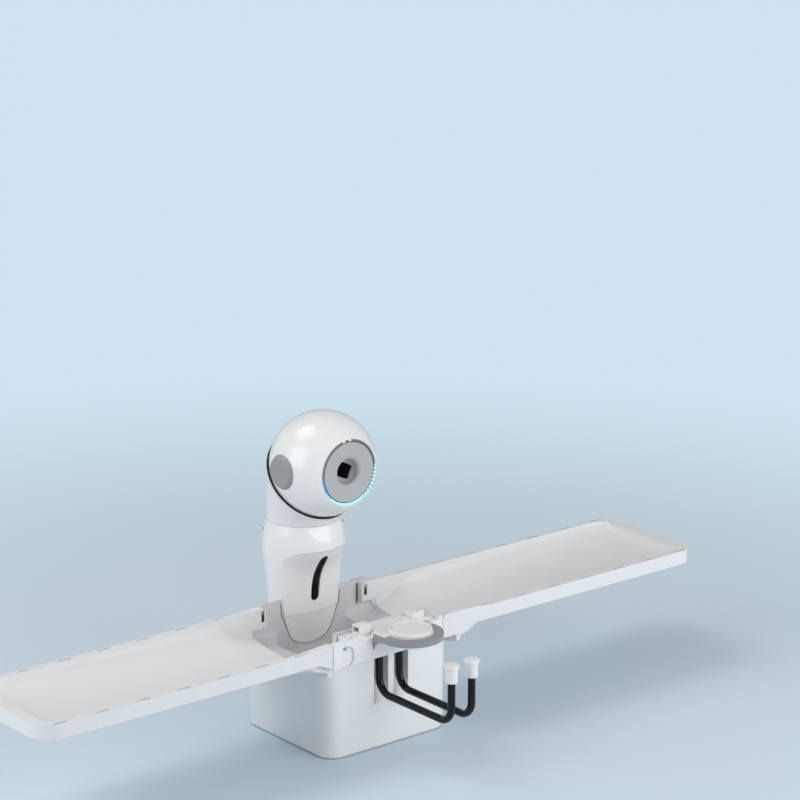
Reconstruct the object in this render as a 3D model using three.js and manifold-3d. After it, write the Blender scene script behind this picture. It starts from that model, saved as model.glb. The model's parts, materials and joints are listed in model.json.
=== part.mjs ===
// Table tennis robot: a clamp-on base with two folding ball-catching wings, a column,
// a panning neck and a round tilting head that fires 40 mm balls along -Y.
// Millimetres, +Z up, +X towards the right wing, -Y towards the player.
// The origin is the centre of the base's underside, on the surface it stands on.
import * as THREE from "three";
import { mergeVertices } from "three/addons/utils/BufferGeometryUtils.js";
import Module from "manifold-3d";

const wasm = await Module();
wasm.setup();

// Shared fits
const gap = 0.3; // between pieces that only touch
const shaftGap = 0.3; // round a shaft in its bore
const overrun = 5; // how far a cutter runs past what it cuts
const ballDiameter = 40;
const ductClearance = 1; // round a ball in a duct
const weldDistance = 0.001; // points nearer than this are one point

// How many sides round things get
const sides = { plug: 16, pocket: 14, pin: 20, rod: 22, cap: 28, hull: 32, disc: 36, ledge: 40, curve: 8, nose: 20 };

// Base housing
const housing = {
  width: 293, depth: 272, lift: 2, cornerRadius: 36, wall: 3.5,
  draft: 2.4, bevel: 3.1, bevelHeight: 7, cornerSteps: 4,
};
const foot = { radius: 12, height: 3.5, inset: 42, socketDepth: 1.8 };
const cover = { thickness: 3 };

// Front rail, nose and clamp
const rail = {
  front: -158, back: -112, bottom: 188, deck: 229, endTop: 235, plateEnd: 151, rightEnd: 104, leftEnd: 104,
  shoulder: 9, cavityHalfWidth: 36, cavityFront: -145, cavityBack: -115, cavityTop: 225,
  ribWidth: 2, ribHeight: 3.2,
};
const nose = {
  centre: -191, halfWidth: 57, neckHalfWidth: 47, neckFront: -150, lidBack: -104, lidTop: 236, lidSkin: 2.6,
  plateThickness: 1.8, padInset: 6, padThickness: 2.2,
};
const bumper = { thickness: 3.2, bottom: 226, flareBottom: 207, flareReach: 34, flareSteps: 6 };
const knob = {
  radius: 40, height: 7.4, rimWidth: 5, dishDepth: 2, faceThickness: 1.6, shaftRadius: 6, edge: 1, crown: 2, fall: 0.5,
};
const gear = {
  teeth: 20, thickness: 3, addendumShare: 0.6, dedendumShare: 0.69, tipShare: 0.16, rootShare: 0.42, lift: 0.3,
};
const screw = { radius: 4, collarRadius: 7, collarHeight: 2.5 };
const hook = {
  spacing: 47, rodRadius: 7, shankY: -130, tipY: -334, bend: 30, level: 108, shankTop: 219, tipTop: 212,
  bendSteps: 5, sides: 12,
};
const crossbar = { width: 66, depth: 16, height: 8, top: 217 };
const cap = { bottom: 186, top: 219.6, sleeveRadius: 11.35, flangeRadius: 14, flangeHeight: 6.4, edge: 1.2 };
const groove = { width: 33, depth: 18, frontFoot: 86, backFoot: 109 };
const latch = {
  near: 48.5, width: 27, front: -138, depth: 22, top: 247, tongueReach: 20, tongueHeight: 2.6, tongueDepth: 12,
  notchWidth: 7, notchDepth: 9, notchDrop: 3,
};

// Wings and their hinges
const hinge = { x: 122, z: 222, pinRadius: 4, frontEarRadius: 10, rearEarRadius: 8, lugRadius: 10.5, lugDrop: 17 };
const wing = {
  inner: 112, troughInner: 150, tip: 762.5, front: -158, rear: 103, rimTop: 230, rimRise: 235, riseStart: 230,
  riseEnd: 165, frontRim: 14, rearRim: 11, tipRim: 20, cornerRadius: 45, skin: 3, sheet: 2.5, skirtBottom: 203,
  floorInner: 167, floorOuter: 206, sectionPower: 2.3, sectionSteps: 10, skirtInner: 152.5, fasciaBottom: 190,
  fasciaStep: 150, fasciaBlend: 182, fasciaThickness: 2.6, rightFasciaEnd: 105, topPlate: 1.5,
};
const slot = { length: 28, width: 3, count: 7, first: 205, pitch: 84 };
const ear = {
  frontDepth: 9, reach: 38, bottom: 205, rearBottom: 191.5, rearBack: 106.4, keyWidth: 7, keyDrop: 22, keyDepth: 1.5,
};
const pocket = { width: 33, height: 40, x: -120, z: 206, depth: 4 };

// Ball tray between the wings
const tray = {
  halfWidth: 108, rearWall: 107, front: -108, skin: 3, top: 232, deckTop: 190.4,
  pitHalfWidth: 96, pitFront: -100, pitRadius: 30, pitKnee: 128, pitFoot: 100, pitFootHalfWidth: 62,
  troughEnd: 146, troughRadius: 30, troughSteps: 4, lip: 167.5, fall: 14,
  lugReach: 135, lugDepth: 8,
};

// Hopper, feeder and the tube that lifts the balls
const bowl = { radius: 84, wall: 2.5, y: -15, floor: 42, rim: 98, mouthTop: 92 };
const feeder = { radius: 79, pockets: 6, pocketRadius: 21.5, pocketCircle: 57, height: 26, lift: 1 };
const feedMotor = { radius: 22, bottom: 8, shaftRadius: 4, socketDepth: 12 };
const tube = {
  wall: 2, sides: 12, steps: 14, startZ: 68, liftY: 138, leadShare: 1.2, bendShare: 0.33, riseShare: 3,
};

// Column
const column = {
  y: 125, bottom: 130, top: 378, wall: 3, waistRadius: 63, seatGap: 0.6, envelope: 0.4, innerSides: 24,
  scoopSteps: 4, innerScoopSteps: 3, ledgeDrop: 14, ledge: 3.7,
};
const bearing = { inner: 48, outer: 60 };
const panMotor = { radius: 14, height: 34, x: -42 };
const dip = { x: 3, z: 374, halfWidth: 42, halfHeight: 23, depth: 3.6 };
const window = { width: 19, length: 96, centreZ: 268 };
const plug = { radius: 2.6, length: 6, stand: 1.6 };

// Neck and head
const head = {
  y: 64, z: 496, radius: 100, wall: 3, frontFlat: 77.5, openRadius: 62.3, rearOpen: 66, sideFlat: 94.1,
  rings: 20, innerSides: 18, innerRings: 12,
};
const neck = {
  cupInner: 102.2, cupOuter: 106, rimDistance: 48, tiltShare: 0.2667, wall: 3, floor: 3, steps: 6, pullShare: 0.9,
  footGap: 0.4, elbowLead: 34, elbowSteps: 5,
};
const seal = { inner: 100.45, outer: 101.1, width: 3 };
const led = { inner: 58.6, outer: 62, front: 79, back: 74 };
const trim = { inner: 57.3, outer: 58.3, front: 77 };
const dish = {
  radius: 57, front: 78, hollow: 1.2, lipRadius: 30, throatRadius: 22.5, lipDepth: 9, sleeveEnd: 66,
  sleeveWall: 3, flangeFront: 73.7, flangeBack: 71, flangeRadius: 62, lipRoll: 3.2, lipFall: 1, throatEase: 2,
};
const sideCap = {
  faceRadius: 27.5, baseRadius: 33, face: 102, base: 94.4, edge: 1, skirt: 2, bossRadius: 12, bossInner: 83, bossGap: 1,
};
const tiltArm = {
  inner: 76, outer: 81, width: 10, stemX: 35, stemWidth: 10, stemOuter: 101, reachDegrees: 69, steps: 7, weld: 1,
};
const launcher = {
  rollShare: 25 / 360, wall: 2, front: 65.6, rear: 16, plate: 3, plateRadius: 34, collarInner: 26, collarOuter: 30,
  collarFront: 70.4, sideHeight: 62, sideThickness: 2.5, sideFront: 35, sideRear: 5,
};
const wheel = {
  radius: 25, bite: 1.5, width: 24, y: -15, hubRadius: 19, shaftRadius: 2.5, windowEnds: 2, windowSides: 1,
};
const wheelMotor = { radius: 13, length: 19.5, socketDepth: 8 };

// Electrical fittings
const inlet = { x: 90, z: 40, radius: 7, flangeRadius: 9.5, flange: 1.5, inner: 11, socketRadius: 3, socketDepth: 8 };
const rocker = { x: -90, z: 40, width: 18, height: 11, bezel: 3, flange: 1.5, depth: 9, stand: 2.2, dip: 1 };
const board = { length: 100, height: 70, thickness: 1.6, bottom: 30 };

// Places worked out from the sizes above
const housingTop = rail.bottom - gap;
const ductHalf = ballDiameter / 2 + ductClearance / 2;
const tubeInner = (ballDiameter / 2 + ductClearance / 2) / Math.cos(Math.PI / tube.sides);
const tubeOuter = tubeInner + tube.wall;
const spineInner = column.waistRadius + column.seatGap;
const spineOuter = spineInner + housing.wall;
const gearPitch = Math.abs(nose.centre - hook.shankY) / 2;
const gearModule = (2 * gearPitch) / gear.teeth;
const gearTip = gearPitch + gear.addendumShare * gearModule;
const gearRoot = gearPitch - gear.dedendumShare * gearModule;
const headCentre = new THREE.Vector3(0, head.y, head.z);
const neckTilt = neck.tiltShare * Math.PI;
const neckAxis = new THREE.Vector3(0, -Math.sin(neckTilt), Math.cos(neckTilt));

// Materials
const finish = (color, roughness, metalness = 0) =>
  new THREE.MeshStandardMaterial({ color, roughness, metalness });
const glossWhite = finish("#eeeeee", 0.25);
const satinWhite = finish("#e4e4e4", 0.45);
const paleGrey = finish("#c0c0c0", 0.5);
const midGrey = finish("#989898", 0.5);
const blackGloss = finish("#101010", 0.18);
const blackMatt = finish("#1a1a1a", 0.7);
const darkGrey = finish("#4a4a4a", 0.6);
const rubber = finish("#2b2b2b", 0.85);
const greyRubber = finish("#8f8f8f", 0.75);
const steel = finish("#b8b8bc", 0.3, 1);
const brass = finish("#c8a24a", 0.35, 1);
const lit = finish("#96f0f5", 0.3);
const boardGreen = finish("#1f6b45", 0.6);

// Solids from geometry and back
function solidOf(geometry) {
  const plain = geometry.clone();
  plain.deleteAttribute("normal");
  plain.deleteAttribute("uv");
  const merged = mergeVertices(plain, weldDistance);
  const source = merged.index.array;
  const kept = [];
  for (let i = 0; i < source.length; i += 3) {
    const [a, b, c] = [source[i], source[i + 1], source[i + 2]];
    if (a !== b && b !== c && c !== a) kept.push(a, b, c);
  }
  if (signedVolume(merged.attributes.position.array, kept) < 0) kept.reverse();
  return new wasm.Manifold(new wasm.Mesh({
    numProp: 3,
    vertProperties: new Float32Array(merged.attributes.position.array),
    triVerts: new Uint32Array(kept),
  }));
}

function signedVolume(points, triangles) {
  let sum = 0;
  const at = (i) => new THREE.Vector3().fromArray(points, 3 * i);
  for (let i = 0; i < triangles.length; i += 3) {
    sum += at(triangles[i]).dot(at(triangles[i + 1]).cross(at(triangles[i + 2])));
  }
  return sum;
}

function geometryOf(solid) {
  const { vertProperties, triVerts } = solid.getMesh();
  const geometry = new THREE.BufferGeometry();
  geometry.setAttribute("position", new THREE.Float32BufferAttribute(vertProperties, 3));
  geometry.setIndex(new THREE.Uint32BufferAttribute(triVerts, 1));
  geometry.computeVertexNormals();
  return geometry;
}

const join = (first, ...rest) => rest.reduce((all, one) => all.add(one), first);
const cut = (first, ...rest) => rest.reduce((all, one) => all.subtract(one), first);

const robot = new THREE.Group();

function place(name, solid, material, parent = robot) {
  const mesh = new THREE.Mesh(geometryOf(solid), material);
  mesh.name = name;
  parent.add(mesh);
  return mesh;
}

// The two ends of a stretch along X in rising order, on the right (side 1) or mirrored to the left (side -1)
const span = (side, a, b) => [Math.min(side * a, side * b), Math.max(side * a, side * b)];

// Basic forms
function box(x0, x1, y0, y1, z0, z1) {
  const geometry = new THREE.BoxGeometry(x1 - x0, y1 - y0, z1 - z0);
  geometry.translate((x0 + x1) / 2, (y0 + y1) / 2, (z0 + z1) / 2);
  return solidOf(geometry);
}

const turns = {
  x: new THREE.Matrix4().makeRotationZ(-Math.PI / 2),
  y: new THREE.Matrix4(),
  z: new THREE.Matrix4().makeRotationX(Math.PI / 2),
};

function rod(axis, radius, from, to, centre = [0, 0], count = sides.rod) {
  const geometry = new THREE.CylinderGeometry(radius, radius, to - from, count);
  geometry.applyMatrix4(turns[axis]);
  const middle = (from + to) / 2;
  const [a, b] = centre;
  const at = { x: [middle, a, b], y: [a, middle, b], z: [a, b, middle] }[axis];
  return solidOf(geometry.translate(...at));
}

const ring = (axis, outer, inner, from, to, centre, count) =>
  cut(rod(axis, outer, from, to, centre, count), rod(axis, inner, from - overrun, to + overrun, centre, count));

function shapeOf(points) {
  return new THREE.Shape(points.map(([x, y]) => new THREE.Vector2(x, y)));
}

function extrude(shape, depth, curveSegments = sides.curve) {
  return new THREE.ExtrudeGeometry(shape, { depth, bevelEnabled: false, curveSegments });
}

// A side profile, listed as [y, z], drawn out along X
function prismX(points, x0, x1) {
  const basis = new THREE.Matrix4().makeBasis(
    new THREE.Vector3(0, 1, 0), new THREE.Vector3(0, 0, 1), new THREE.Vector3(1, 0, 0));
  return solidOf(extrude(shapeOf(points), x1 - x0).applyMatrix4(basis).translate(x0, 0, 0));
}

// A front profile, listed as [x, z], drawn out along Y
function prismY(points, y0, y1) {
  const basis = new THREE.Matrix4().makeBasis(
    new THREE.Vector3(1, 0, 0), new THREE.Vector3(0, 0, 1), new THREE.Vector3(0, -1, 0));
  return solidOf(extrude(shapeOf(points), y1 - y0).applyMatrix4(basis).translate(0, y1, 0));
}

// A plan outline drawn out along Z
function prismZ(shape, z0, z1, curveSegments) {
  return solidOf(extrude(shape, z1 - z0, curveSegments).translate(0, 0, z0));
}

// A revolved profile, listed as [radius, height], round Z or round Y
function revolve(profile, axis = "z", count = sides.hull) {
  const geometry = new THREE.LatheGeometry(profile.map(([r, h]) => new THREE.Vector2(r, h)), count);
  geometry.applyMatrix4(turns[axis]);
  return solidOf(geometry);
}

// A skin over rings of equal count, closed at both ends
function loft(rings) {
  const count = rings[0].length;
  const points = rings.flat();
  const faces = [];
  for (let r = 0; r + 1 < rings.length; r += 1) {
    for (let i = 0; i < count; i += 1) {
      const a = r * count + i;
      const b = r * count + ((i + 1) % count);
      faces.push(a, b, b + count, a, b + count, a + count);
    }
  }
  for (const [end, turned] of [[0, true], [rings.length - 1, false]]) {
    const middle = points.length;
    const sum = rings[end].reduce((all, one) => all.add(one), new THREE.Vector3());
    points.push(sum.divideScalar(count));
    for (let i = 0; i < count; i += 1) {
      const a = end * count + i;
      const b = end * count + ((i + 1) % count);
      faces.push(...(turned ? [b, a, middle] : [a, b, middle]));
    }
  }
  const geometry = new THREE.BufferGeometry().setFromPoints(points);
  geometry.setIndex(faces);
  return solidOf(geometry);
}

// A round pipe or bar along points that share one X
function pipe(path, radius, count) {
  const across = new THREE.Vector3(1, 0, 0);
  return loft(path.map((point, i) => {
    const before = path[Math.max(i - 1, 0)];
    const after = path[Math.min(i + 1, path.length - 1)];
    const along = after.clone().sub(before).normalize();
    const up = along.clone().cross(across);
    return Array.from({ length: count }, (_, k) => {
      const angle = (2 * Math.PI * k) / count;
      return point.clone()
        .addScaledVector(across, radius * Math.cos(angle))
        .addScaledVector(up, radius * Math.sin(angle));
    });
  }));
}

function roundedRectangle(halfX, y0, y1, radius, z) {
  const corners = [[halfX, y1, 0], [-halfX, y1, 1], [-halfX, y0, 2], [halfX, y0, 3]];
  return corners.flatMap(([x, y, quarter]) => {
    const cx = x - Math.sign(x) * radius;
    const cy = quarter < 2 ? y - radius : y + radius;
    return Array.from({ length: housing.cornerSteps + 1 }, (_, i) => {
      const angle = ((quarter + i / housing.cornerSteps) * Math.PI) / 2;
      return new THREE.Vector3(cx + radius * Math.cos(angle), cy + radius * Math.sin(angle), z);
    });
  });
}

function circleRing(radius, y, z, count) {
  return Array.from({ length: count }, (_, i) => {
    const angle = (2 * Math.PI * i) / count;
    return new THREE.Vector3(radius * Math.cos(angle), y + radius * Math.sin(angle), z);
  });
}

// Column outline: each row holds a radius and a height as shares of the column's radius and height
const waistShare = 0.81;
const topShare = 0.905;
const columnProfileShares = [
  [0, 0], [0.28, 0.004], [0.42, 0.018], [0.55, 0.048], [0.7, 0.11], [waistShare, 0.23],
  [0.872, 0.327], [0.923, 0.488], [0.974, 0.649], [1, 0.77], [0.981, 0.887], [topShare, 1],
];
const columnRadius = column.waistRadius / waistShare;
const columnHeight = column.top - column.bottom;

function columnSolid(grow, topExtra = 0, count = sides.hull) {
  const profile = columnProfileShares.map(([r, h]) => [
    r === 0 ? 0 : columnRadius * r + grow,
    column.bottom - grow + (columnHeight + grow) * h,
  ]);
  if (topExtra > 0) profile.push([columnRadius * topShare + grow, column.top + topExtra]);
  profile.push([0, column.top + topExtra]);
  return revolve(profile, "z", count).translate([0, column.y, 0]);
}

// The scooped front of the column. Each row holds how far the scoop is set back from the axis at the
// middle, how much it falls away towards the sides, and its height, all as shares of the column's size.
const scoopShares = [
  [1.02, 0.52, 0.812], [0.97, 0.52, 0.8], [0.92, 0.52, 0.775], [0.84, 0.52, 0.735], [0.73, 0.48, 0.685],
  [0.62, 0.4, 0.63], [0.53, 0.32, 0.57], [0.47, 0.26, 0.5], [0.44, 0.24, 0.42], [0.425, 0.24, 0.34],
  [0.39, 0.23, 0.27], [0.33, 0.2, 0.19], [0.27, 0.16, 0.11], [0.22, 0.12, 0.03], [0.2, 0.1, -0.05],
];

function scoop(shift, halfSteps = column.scoopSteps) {
  const reach = column.y - 2 * columnRadius;
  const side = columnRadius + housing.wall + overrun;
  const lines = Array.from({ length: 2 * halfSteps + 1 }, (_, i) => side * (i / halfSteps - 1));
  return loft(lines.map((x) => {
    const share = (x / columnRadius) ** 2;
    const curve = scoopShares.map(([back, fall, h]) => new THREE.Vector3(
      x, column.y - columnRadius * (back - fall * share) + shift, column.bottom + columnHeight * h));
    const [first] = curve;
    const last = curve[curve.length - 1];
    return [new THREE.Vector3(x, reach, last.z), new THREE.Vector3(x, reach, first.z), ...curve];
  }));
}

const columnEnvelope = cut(columnSolid(column.envelope), scoop(-column.envelope));

// The lifting tube's line, from the feeder's mouth to the turntable
const bowlBack = bowl.y + bowl.radius;
const tubeLine = new THREE.CatmullRomCurve3([
  new THREE.Vector3(0, bowlBack + gap, tube.startZ),
  new THREE.Vector3(0, bowlBack + tube.leadShare * tubeOuter, tube.startZ),
  new THREE.Vector3(0, tube.liftY - tube.bendShare * tubeOuter, tube.startZ + tubeOuter),
  new THREE.Vector3(0, tube.liftY, tube.startZ + tube.riseShare * tubeOuter),
  new THREE.Vector3(0, tube.liftY, column.bottom + columnRadius),
  new THREE.Vector3(0, column.y, column.top - columnRadius),
  new THREE.Vector3(0, column.y, column.top - gap),
], false, "centripetal").getSpacedPoints(tube.steps);

// Base housing with two rod grooves and a round spine that carries the column
function housingInset(z) {
  const bevelTop = housing.lift + housing.bevelHeight;
  return housing.draft * (1 - (z - bevelTop) / (housingTop - bevelTop));
}

function housingLoft(shrink, z0, z1) {
  const levels = [
    [z0, housing.draft + housing.bevel],
    [housing.lift + housing.bevelHeight, housing.draft],
    [z1, 0],
  ];
  const plan = loft(levels.map(([z, inset]) => {
    const all = inset + shrink;
    return roundedRectangle(
      housing.width / 2 - all, -housing.depth / 2 + all, housing.depth / 2 - all, housing.cornerRadius - all, z);
  }));
  const spine = loft(levels.map(([z, inset]) =>
    circleRing(spineOuter - shrink - inset / 2, column.y, z, sides.hull)));
  return join(plan, spine);
}

function buildHousing() {
  const shell = cut(
    housingLoft(0, housing.lift, housingTop),
    housingLoft(housing.wall, housing.lift - overrun, housingTop + overrun));
  const front = -housing.depth / 2;
  const innerFace = front + groove.depth;
  const halfSpan = hook.spacing / 2 + groove.width / 2 + housing.wall;
  const block = prismX([
    [front + housing.wall, groove.frontFoot - housing.wall], [innerFace + housing.wall, groove.backFoot],
    [innerFace + housing.wall, housingTop], [front + housing.wall, housingTop],
  ], -halfSpan, halfSpan);
  const grooves = [-1, 1].map((side) => prismX([
    [front - overrun, groove.frontFoot - overrun], [innerFace, groove.backFoot],
    [innerFace, housingTop + overrun], [front - overrun, housingTop + overrun],
  ], side * hook.spacing / 2 - groove.width / 2, side * hook.spacing / 2 + groove.width / 2));
  const rear = housing.depth / 2;
  const inletHole = rod("y", inlet.radius + gap, rear - 4 * housing.wall, rear + overrun, [inlet.x, inlet.z]);
  const rockerHole = box(
    rocker.x - rocker.width / 2 - rocker.bezel / 2 - gap, rocker.x + rocker.width / 2 + rocker.bezel / 2 + gap,
    rear - 4 * housing.wall, rear + overrun,
    rocker.z - rocker.height / 2 - rocker.bezel / 2 - gap, rocker.z + rocker.height / 2 + rocker.bezel / 2 + gap);
  const notches = trayTrough(tray.skin + gap, 2 * overrun);
  place("base_housing", cut(join(shell, block), ...grooves, inletHole, rockerHole, notches, columnEnvelope),
    glossWhite);
}

function footPlaces() {
  const x = housing.width / 2 - foot.inset;
  const y = housing.depth / 2 - foot.inset;
  return [["front_left", -x, -y], ["front_right", x, -y], ["rear_left", -x, y], ["rear_right", x, y]];
}

function buildCoverAndFeet() {
  const shrink = housing.draft + housing.bevel + housing.wall + gap;
  const top = housing.lift + cover.thickness;
  const plan = loft([housing.lift, top].map((z) => roundedRectangle(
    housing.width / 2 - shrink, -housing.depth / 2 + shrink, housing.depth / 2 - shrink,
    housing.cornerRadius - shrink, z)));
  const spine = rod("z", spineInner - housing.draft - housing.bevel - gap, housing.lift, top, [0, column.y]);
  const sockets = footPlaces().map(([, x, y]) =>
    rod("z", foot.radius + gap, housing.lift - overrun, housing.lift + foot.socketDepth, [x, y]));
  const pedestal = ring("z", feedMotor.radius + bowl.wall, feedMotor.radius - bowl.wall,
    top - gap, feedMotor.bottom - gap, [0, bowl.y]);
  place("bottom_cover", cut(join(plan, spine, pedestal), ...sockets), satinWhite);
  for (const [name, x, y] of footPlaces()) {
    place(`foot_${name}`, rod("z", foot.radius, 0, foot.height, [x, y]), rubber);
  }
}

// U-shaped plan of the nose: straight sides, round front
function noseShape(halfWidth, back, sideInset = 0, sideFrom = back) {
  const shape = new THREE.Shape();
  const narrow = halfWidth - sideInset;
  shape.moveTo(narrow, back);
  shape.lineTo(-narrow, back);
  if (sideInset > 0) {
    shape.lineTo(-narrow, sideFrom);
    shape.lineTo(-halfWidth, sideFrom);
  }
  shape.lineTo(-halfWidth, nose.centre);
  shape.absarc(0, nose.centre, halfWidth, Math.PI, 2 * Math.PI, false);
  if (sideInset > 0) {
    shape.lineTo(halfWidth, sideFrom);
    shape.lineTo(narrow, sideFrom);
  }
  return shape;
}

// A disc round a hinge's axis, used to round whatever turns about it
const hingeDisc = (side, radius, y0, y1) => rod("y", radius, y0, y1, [side * hinge.x, hinge.z], sides.disc);

function buildRail() {
  const plateBack = wing.front + wing.frontRim - wing.skin - gap;
  const beam = box(-rail.leftEnd, rail.rightEnd, rail.front, rail.back, rail.bottom, rail.deck);
  const rightEnd = box(
    rail.rightEnd - rail.shoulder, rail.rightEnd, rail.front, plateBack, rail.deck - overrun, rail.endTop);
  const plate = box(
    -rail.plateEnd, -rail.leftEnd + rail.shoulder, rail.front, plateBack, rail.bottom, rail.endTop);
  const plateReach = rail.plateEnd - hinge.x + 3 * gap;
  const aboveHinge = cut(
    box(-rail.plateEnd - overrun, -hinge.x, rail.front - overrun, plateBack + overrun, hinge.z, rail.endTop + overrun),
    hingeDisc(-1, plateReach, rail.front - 2 * overrun, plateBack + 2 * overrun));
  const pill = new THREE.Shape();
  const pillRadius = pocket.width / 2;
  const pillReach = pocket.height / 2 - pillRadius;
  pill.absarc(pocket.x, pocket.z + pillReach, pillRadius, 0, Math.PI, false);
  pill.absarc(pocket.x, pocket.z - pillReach, pillRadius, Math.PI, 2 * Math.PI, false);
  const pillCut = solidOf(extrude(pill, pocket.depth + overrun)
    .rotateX(Math.PI / 2).translate(0, rail.front + pocket.depth, 0));
  const lugFront = wing.front + wing.fasciaThickness + 2 * gap;
  const lug = join(
    hingeDisc(1, hinge.lugRadius, lugFront, plateBack),
    box(rail.rightEnd - overrun, hinge.x, lugFront, plateBack, hinge.z - hinge.lugDrop, hinge.z - gap));
  const nosePlate = prismZ(noseShape(nose.halfWidth - gap, rail.front + overrun),
    rail.deck - nose.plateThickness, rail.deck);
  const ribFronts = [latch.front - gap - rail.ribWidth, latch.front + latch.depth + gap];
  const ribs = [-1, 1].flatMap((side) => ribFronts.map((y) =>
    box(...span(side, nose.halfWidth + gap, rail.rightEnd - rail.shoulder),
      y, y + rail.ribWidth, rail.deck - overrun, rail.deck + rail.ribHeight)));
  const cavity = box(-rail.cavityHalfWidth, rail.cavityHalfWidth, rail.cavityFront, rail.cavityBack,
    rail.bottom - overrun, rail.cavityTop);
  const screwBore = rod("z", screw.radius + shaftGap, rail.bottom, rail.deck + overrun, [0, hook.shankY]);
  const pinBores = [-1, 1].map((side) =>
    rod("y", hinge.pinRadius + shaftGap, rail.front - overrun, plateBack + overrun, [side * hinge.x, hinge.z],
      sides.pin));
  const clear = box(rail.rightEnd - overrun, rail.rightEnd + 3 * overrun, rail.front - overrun, lugFront,
    rail.bottom - overrun, rail.endTop + overrun).subtract(
    box(0, rail.rightEnd, 2 * rail.front, 0, 0, 2 * rail.endTop));
  place("front_rail", cut(join(beam, rightEnd, plate, lug, nosePlate, ...ribs),
    aboveHinge, pillCut, cavity, screwBore, ...pinBores, clear), glossWhite);
}

function buildNose() {
  const bottom = rail.deck + gap;
  const lid = prismZ(noseShape(nose.halfWidth, nose.lidBack, nose.halfWidth - nose.neckHalfWidth, nose.neckFront),
    bottom, nose.lidTop, sides.nose);
  const ceiling = nose.lidTop - nose.lidSkin;
  const rooms = [nose.centre, hook.shankY].map((y) =>
    rod("z", gearTip + 4 * gap, bottom - overrun, ceiling, [0, y], sides.disc));
  const shaftHole = rod("z", knob.shaftRadius + shaftGap, bottom, nose.lidTop + overrun, [0, nose.centre]);
  place("nose_lid", cut(lid, ...rooms, shaftHole), glossWhite);
  const padTop = rail.deck - nose.plateThickness - gap;
  place("jaw_pad", prismZ(noseShape(nose.halfWidth - nose.padInset, rail.front - gap),
    padTop - nose.padThickness, padTop, sides.plug), greyRubber);
}

function buildBumper() {
  const inner = nose.halfWidth + gap;
  const back = rail.front - gap;
  const band = cut(
    prismZ(noseShape(inner + bumper.thickness, back), bumper.flareBottom, nose.lidTop, sides.nose),
    prismZ(noseShape(inner, back + overrun), bumper.flareBottom - overrun, nose.lidTop + overrun,
      sides.nose));
  const drop = bumper.bottom - bumper.flareBottom;
  const curve = Array.from({ length: bumper.flareSteps + 1 }, (_, i) => {
    const angle = (i / bumper.flareSteps) * (Math.PI / 2);
    return [back - bumper.flareReach * (1 - Math.cos(angle)), bumper.flareBottom + drop * Math.sin(angle)];
  });
  const front = nose.centre - 2 * nose.halfWidth;
  const under = prismX([[front, bumper.flareBottom - overrun], [back, bumper.flareBottom - overrun], ...curve,
    [front, bumper.bottom]], -2 * nose.halfWidth, 2 * nose.halfWidth);
  place("bumper_band", cut(band, under), greyRubber);
}

// A plain spur gear: straight-sided teeth, thinned for backlash
function gearShape(phase) {
  const step = (2 * Math.PI) / gear.teeth;
  const points = [];
  for (let i = 0; i < gear.teeth; i += 1) {
    const middle = (i + phase) * step;
    for (const [radius, share] of [[gearRoot, -gear.rootShare / 2], [gearTip, -gear.tipShare / 2],
      [gearTip, gear.tipShare / 2], [gearRoot, gear.rootShare / 2]]) {
      const angle = middle + share * step;
      points.push([radius * Math.cos(angle), radius * Math.sin(angle)]);
    }
  }
  return shapeOf(points);
}

function buildKnob() {
  const gearBottom = rail.deck + gap + gear.lift;
  const gearTop = gearBottom + gear.thickness;
  const bottom = nose.lidTop + 2 * gap;
  const top = bottom + knob.height;
  const dishRadius = knob.radius - knob.rimWidth;
  const floor = top - knob.dishDepth - knob.faceThickness;
  const bore = knob.shaftRadius + gap;
  place("knob_cap", revolve([
    [bore, bottom], [knob.radius - knob.edge, bottom], [knob.radius, bottom + knob.edge],
    [knob.radius, top - knob.crown], [knob.radius - knob.edge, top - knob.fall], [knob.radius - knob.crown, top],
    [dishRadius, top - knob.fall], [dishRadius, floor], [bore, floor], [bore, bottom],
  ], "z", sides.disc).translate([0, nose.centre, 0]), glossWhite);
  place("knob_face", rod("z", dishRadius - gap, floor + gap, floor + gap + knob.faceThickness, [0, nose.centre],
    sides.disc), paleGrey);
  const gearBody = prismZ(gearShape(0), gearBottom, gearTop).translate([0, nose.centre, 0]);
  place("knob_gear", join(gearBody, rod("z", knob.shaftRadius, gearTop - gap, floor, [0, nose.centre])), satinWhite);
  const screwGear = prismZ(gearShape(1 / 2), gearBottom, gearTop).translate([0, hook.shankY, 0]);
  place("screw_gear", cut(screwGear, rod("z", screw.radius + gap, gearBottom - overrun, gearTop + overrun,
    [0, hook.shankY])), satinWhite);
  const collarTop = rail.cavityTop - gap;
  place("clamp_screw", join(
    rod("z", screw.radius, housingTop + 2 * gap, gearTop, [0, hook.shankY]),
    rod("z", screw.collarRadius, collarTop - screw.collarHeight, collarTop, [0, hook.shankY])), steel);
}

function hookPath(x) {
  const line = [new THREE.Vector3(x, hook.shankY, hook.shankTop)];
  const bends = [[hook.shankY - hook.bend, 0], [hook.tipY + hook.bend, -Math.PI / 2]];
  for (const [y, start] of bends) {
    for (let i = 0; i <= hook.bendSteps; i += 1) {
      const angle = start - (i / hook.bendSteps) * (Math.PI / 2);
      line.push(new THREE.Vector3(
        x, y + hook.bend * Math.cos(angle), hook.level + hook.bend + hook.bend * Math.sin(angle)));
    }
  }
  line.push(new THREE.Vector3(x, hook.tipY, hook.tipTop));
  return line;
}

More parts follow.
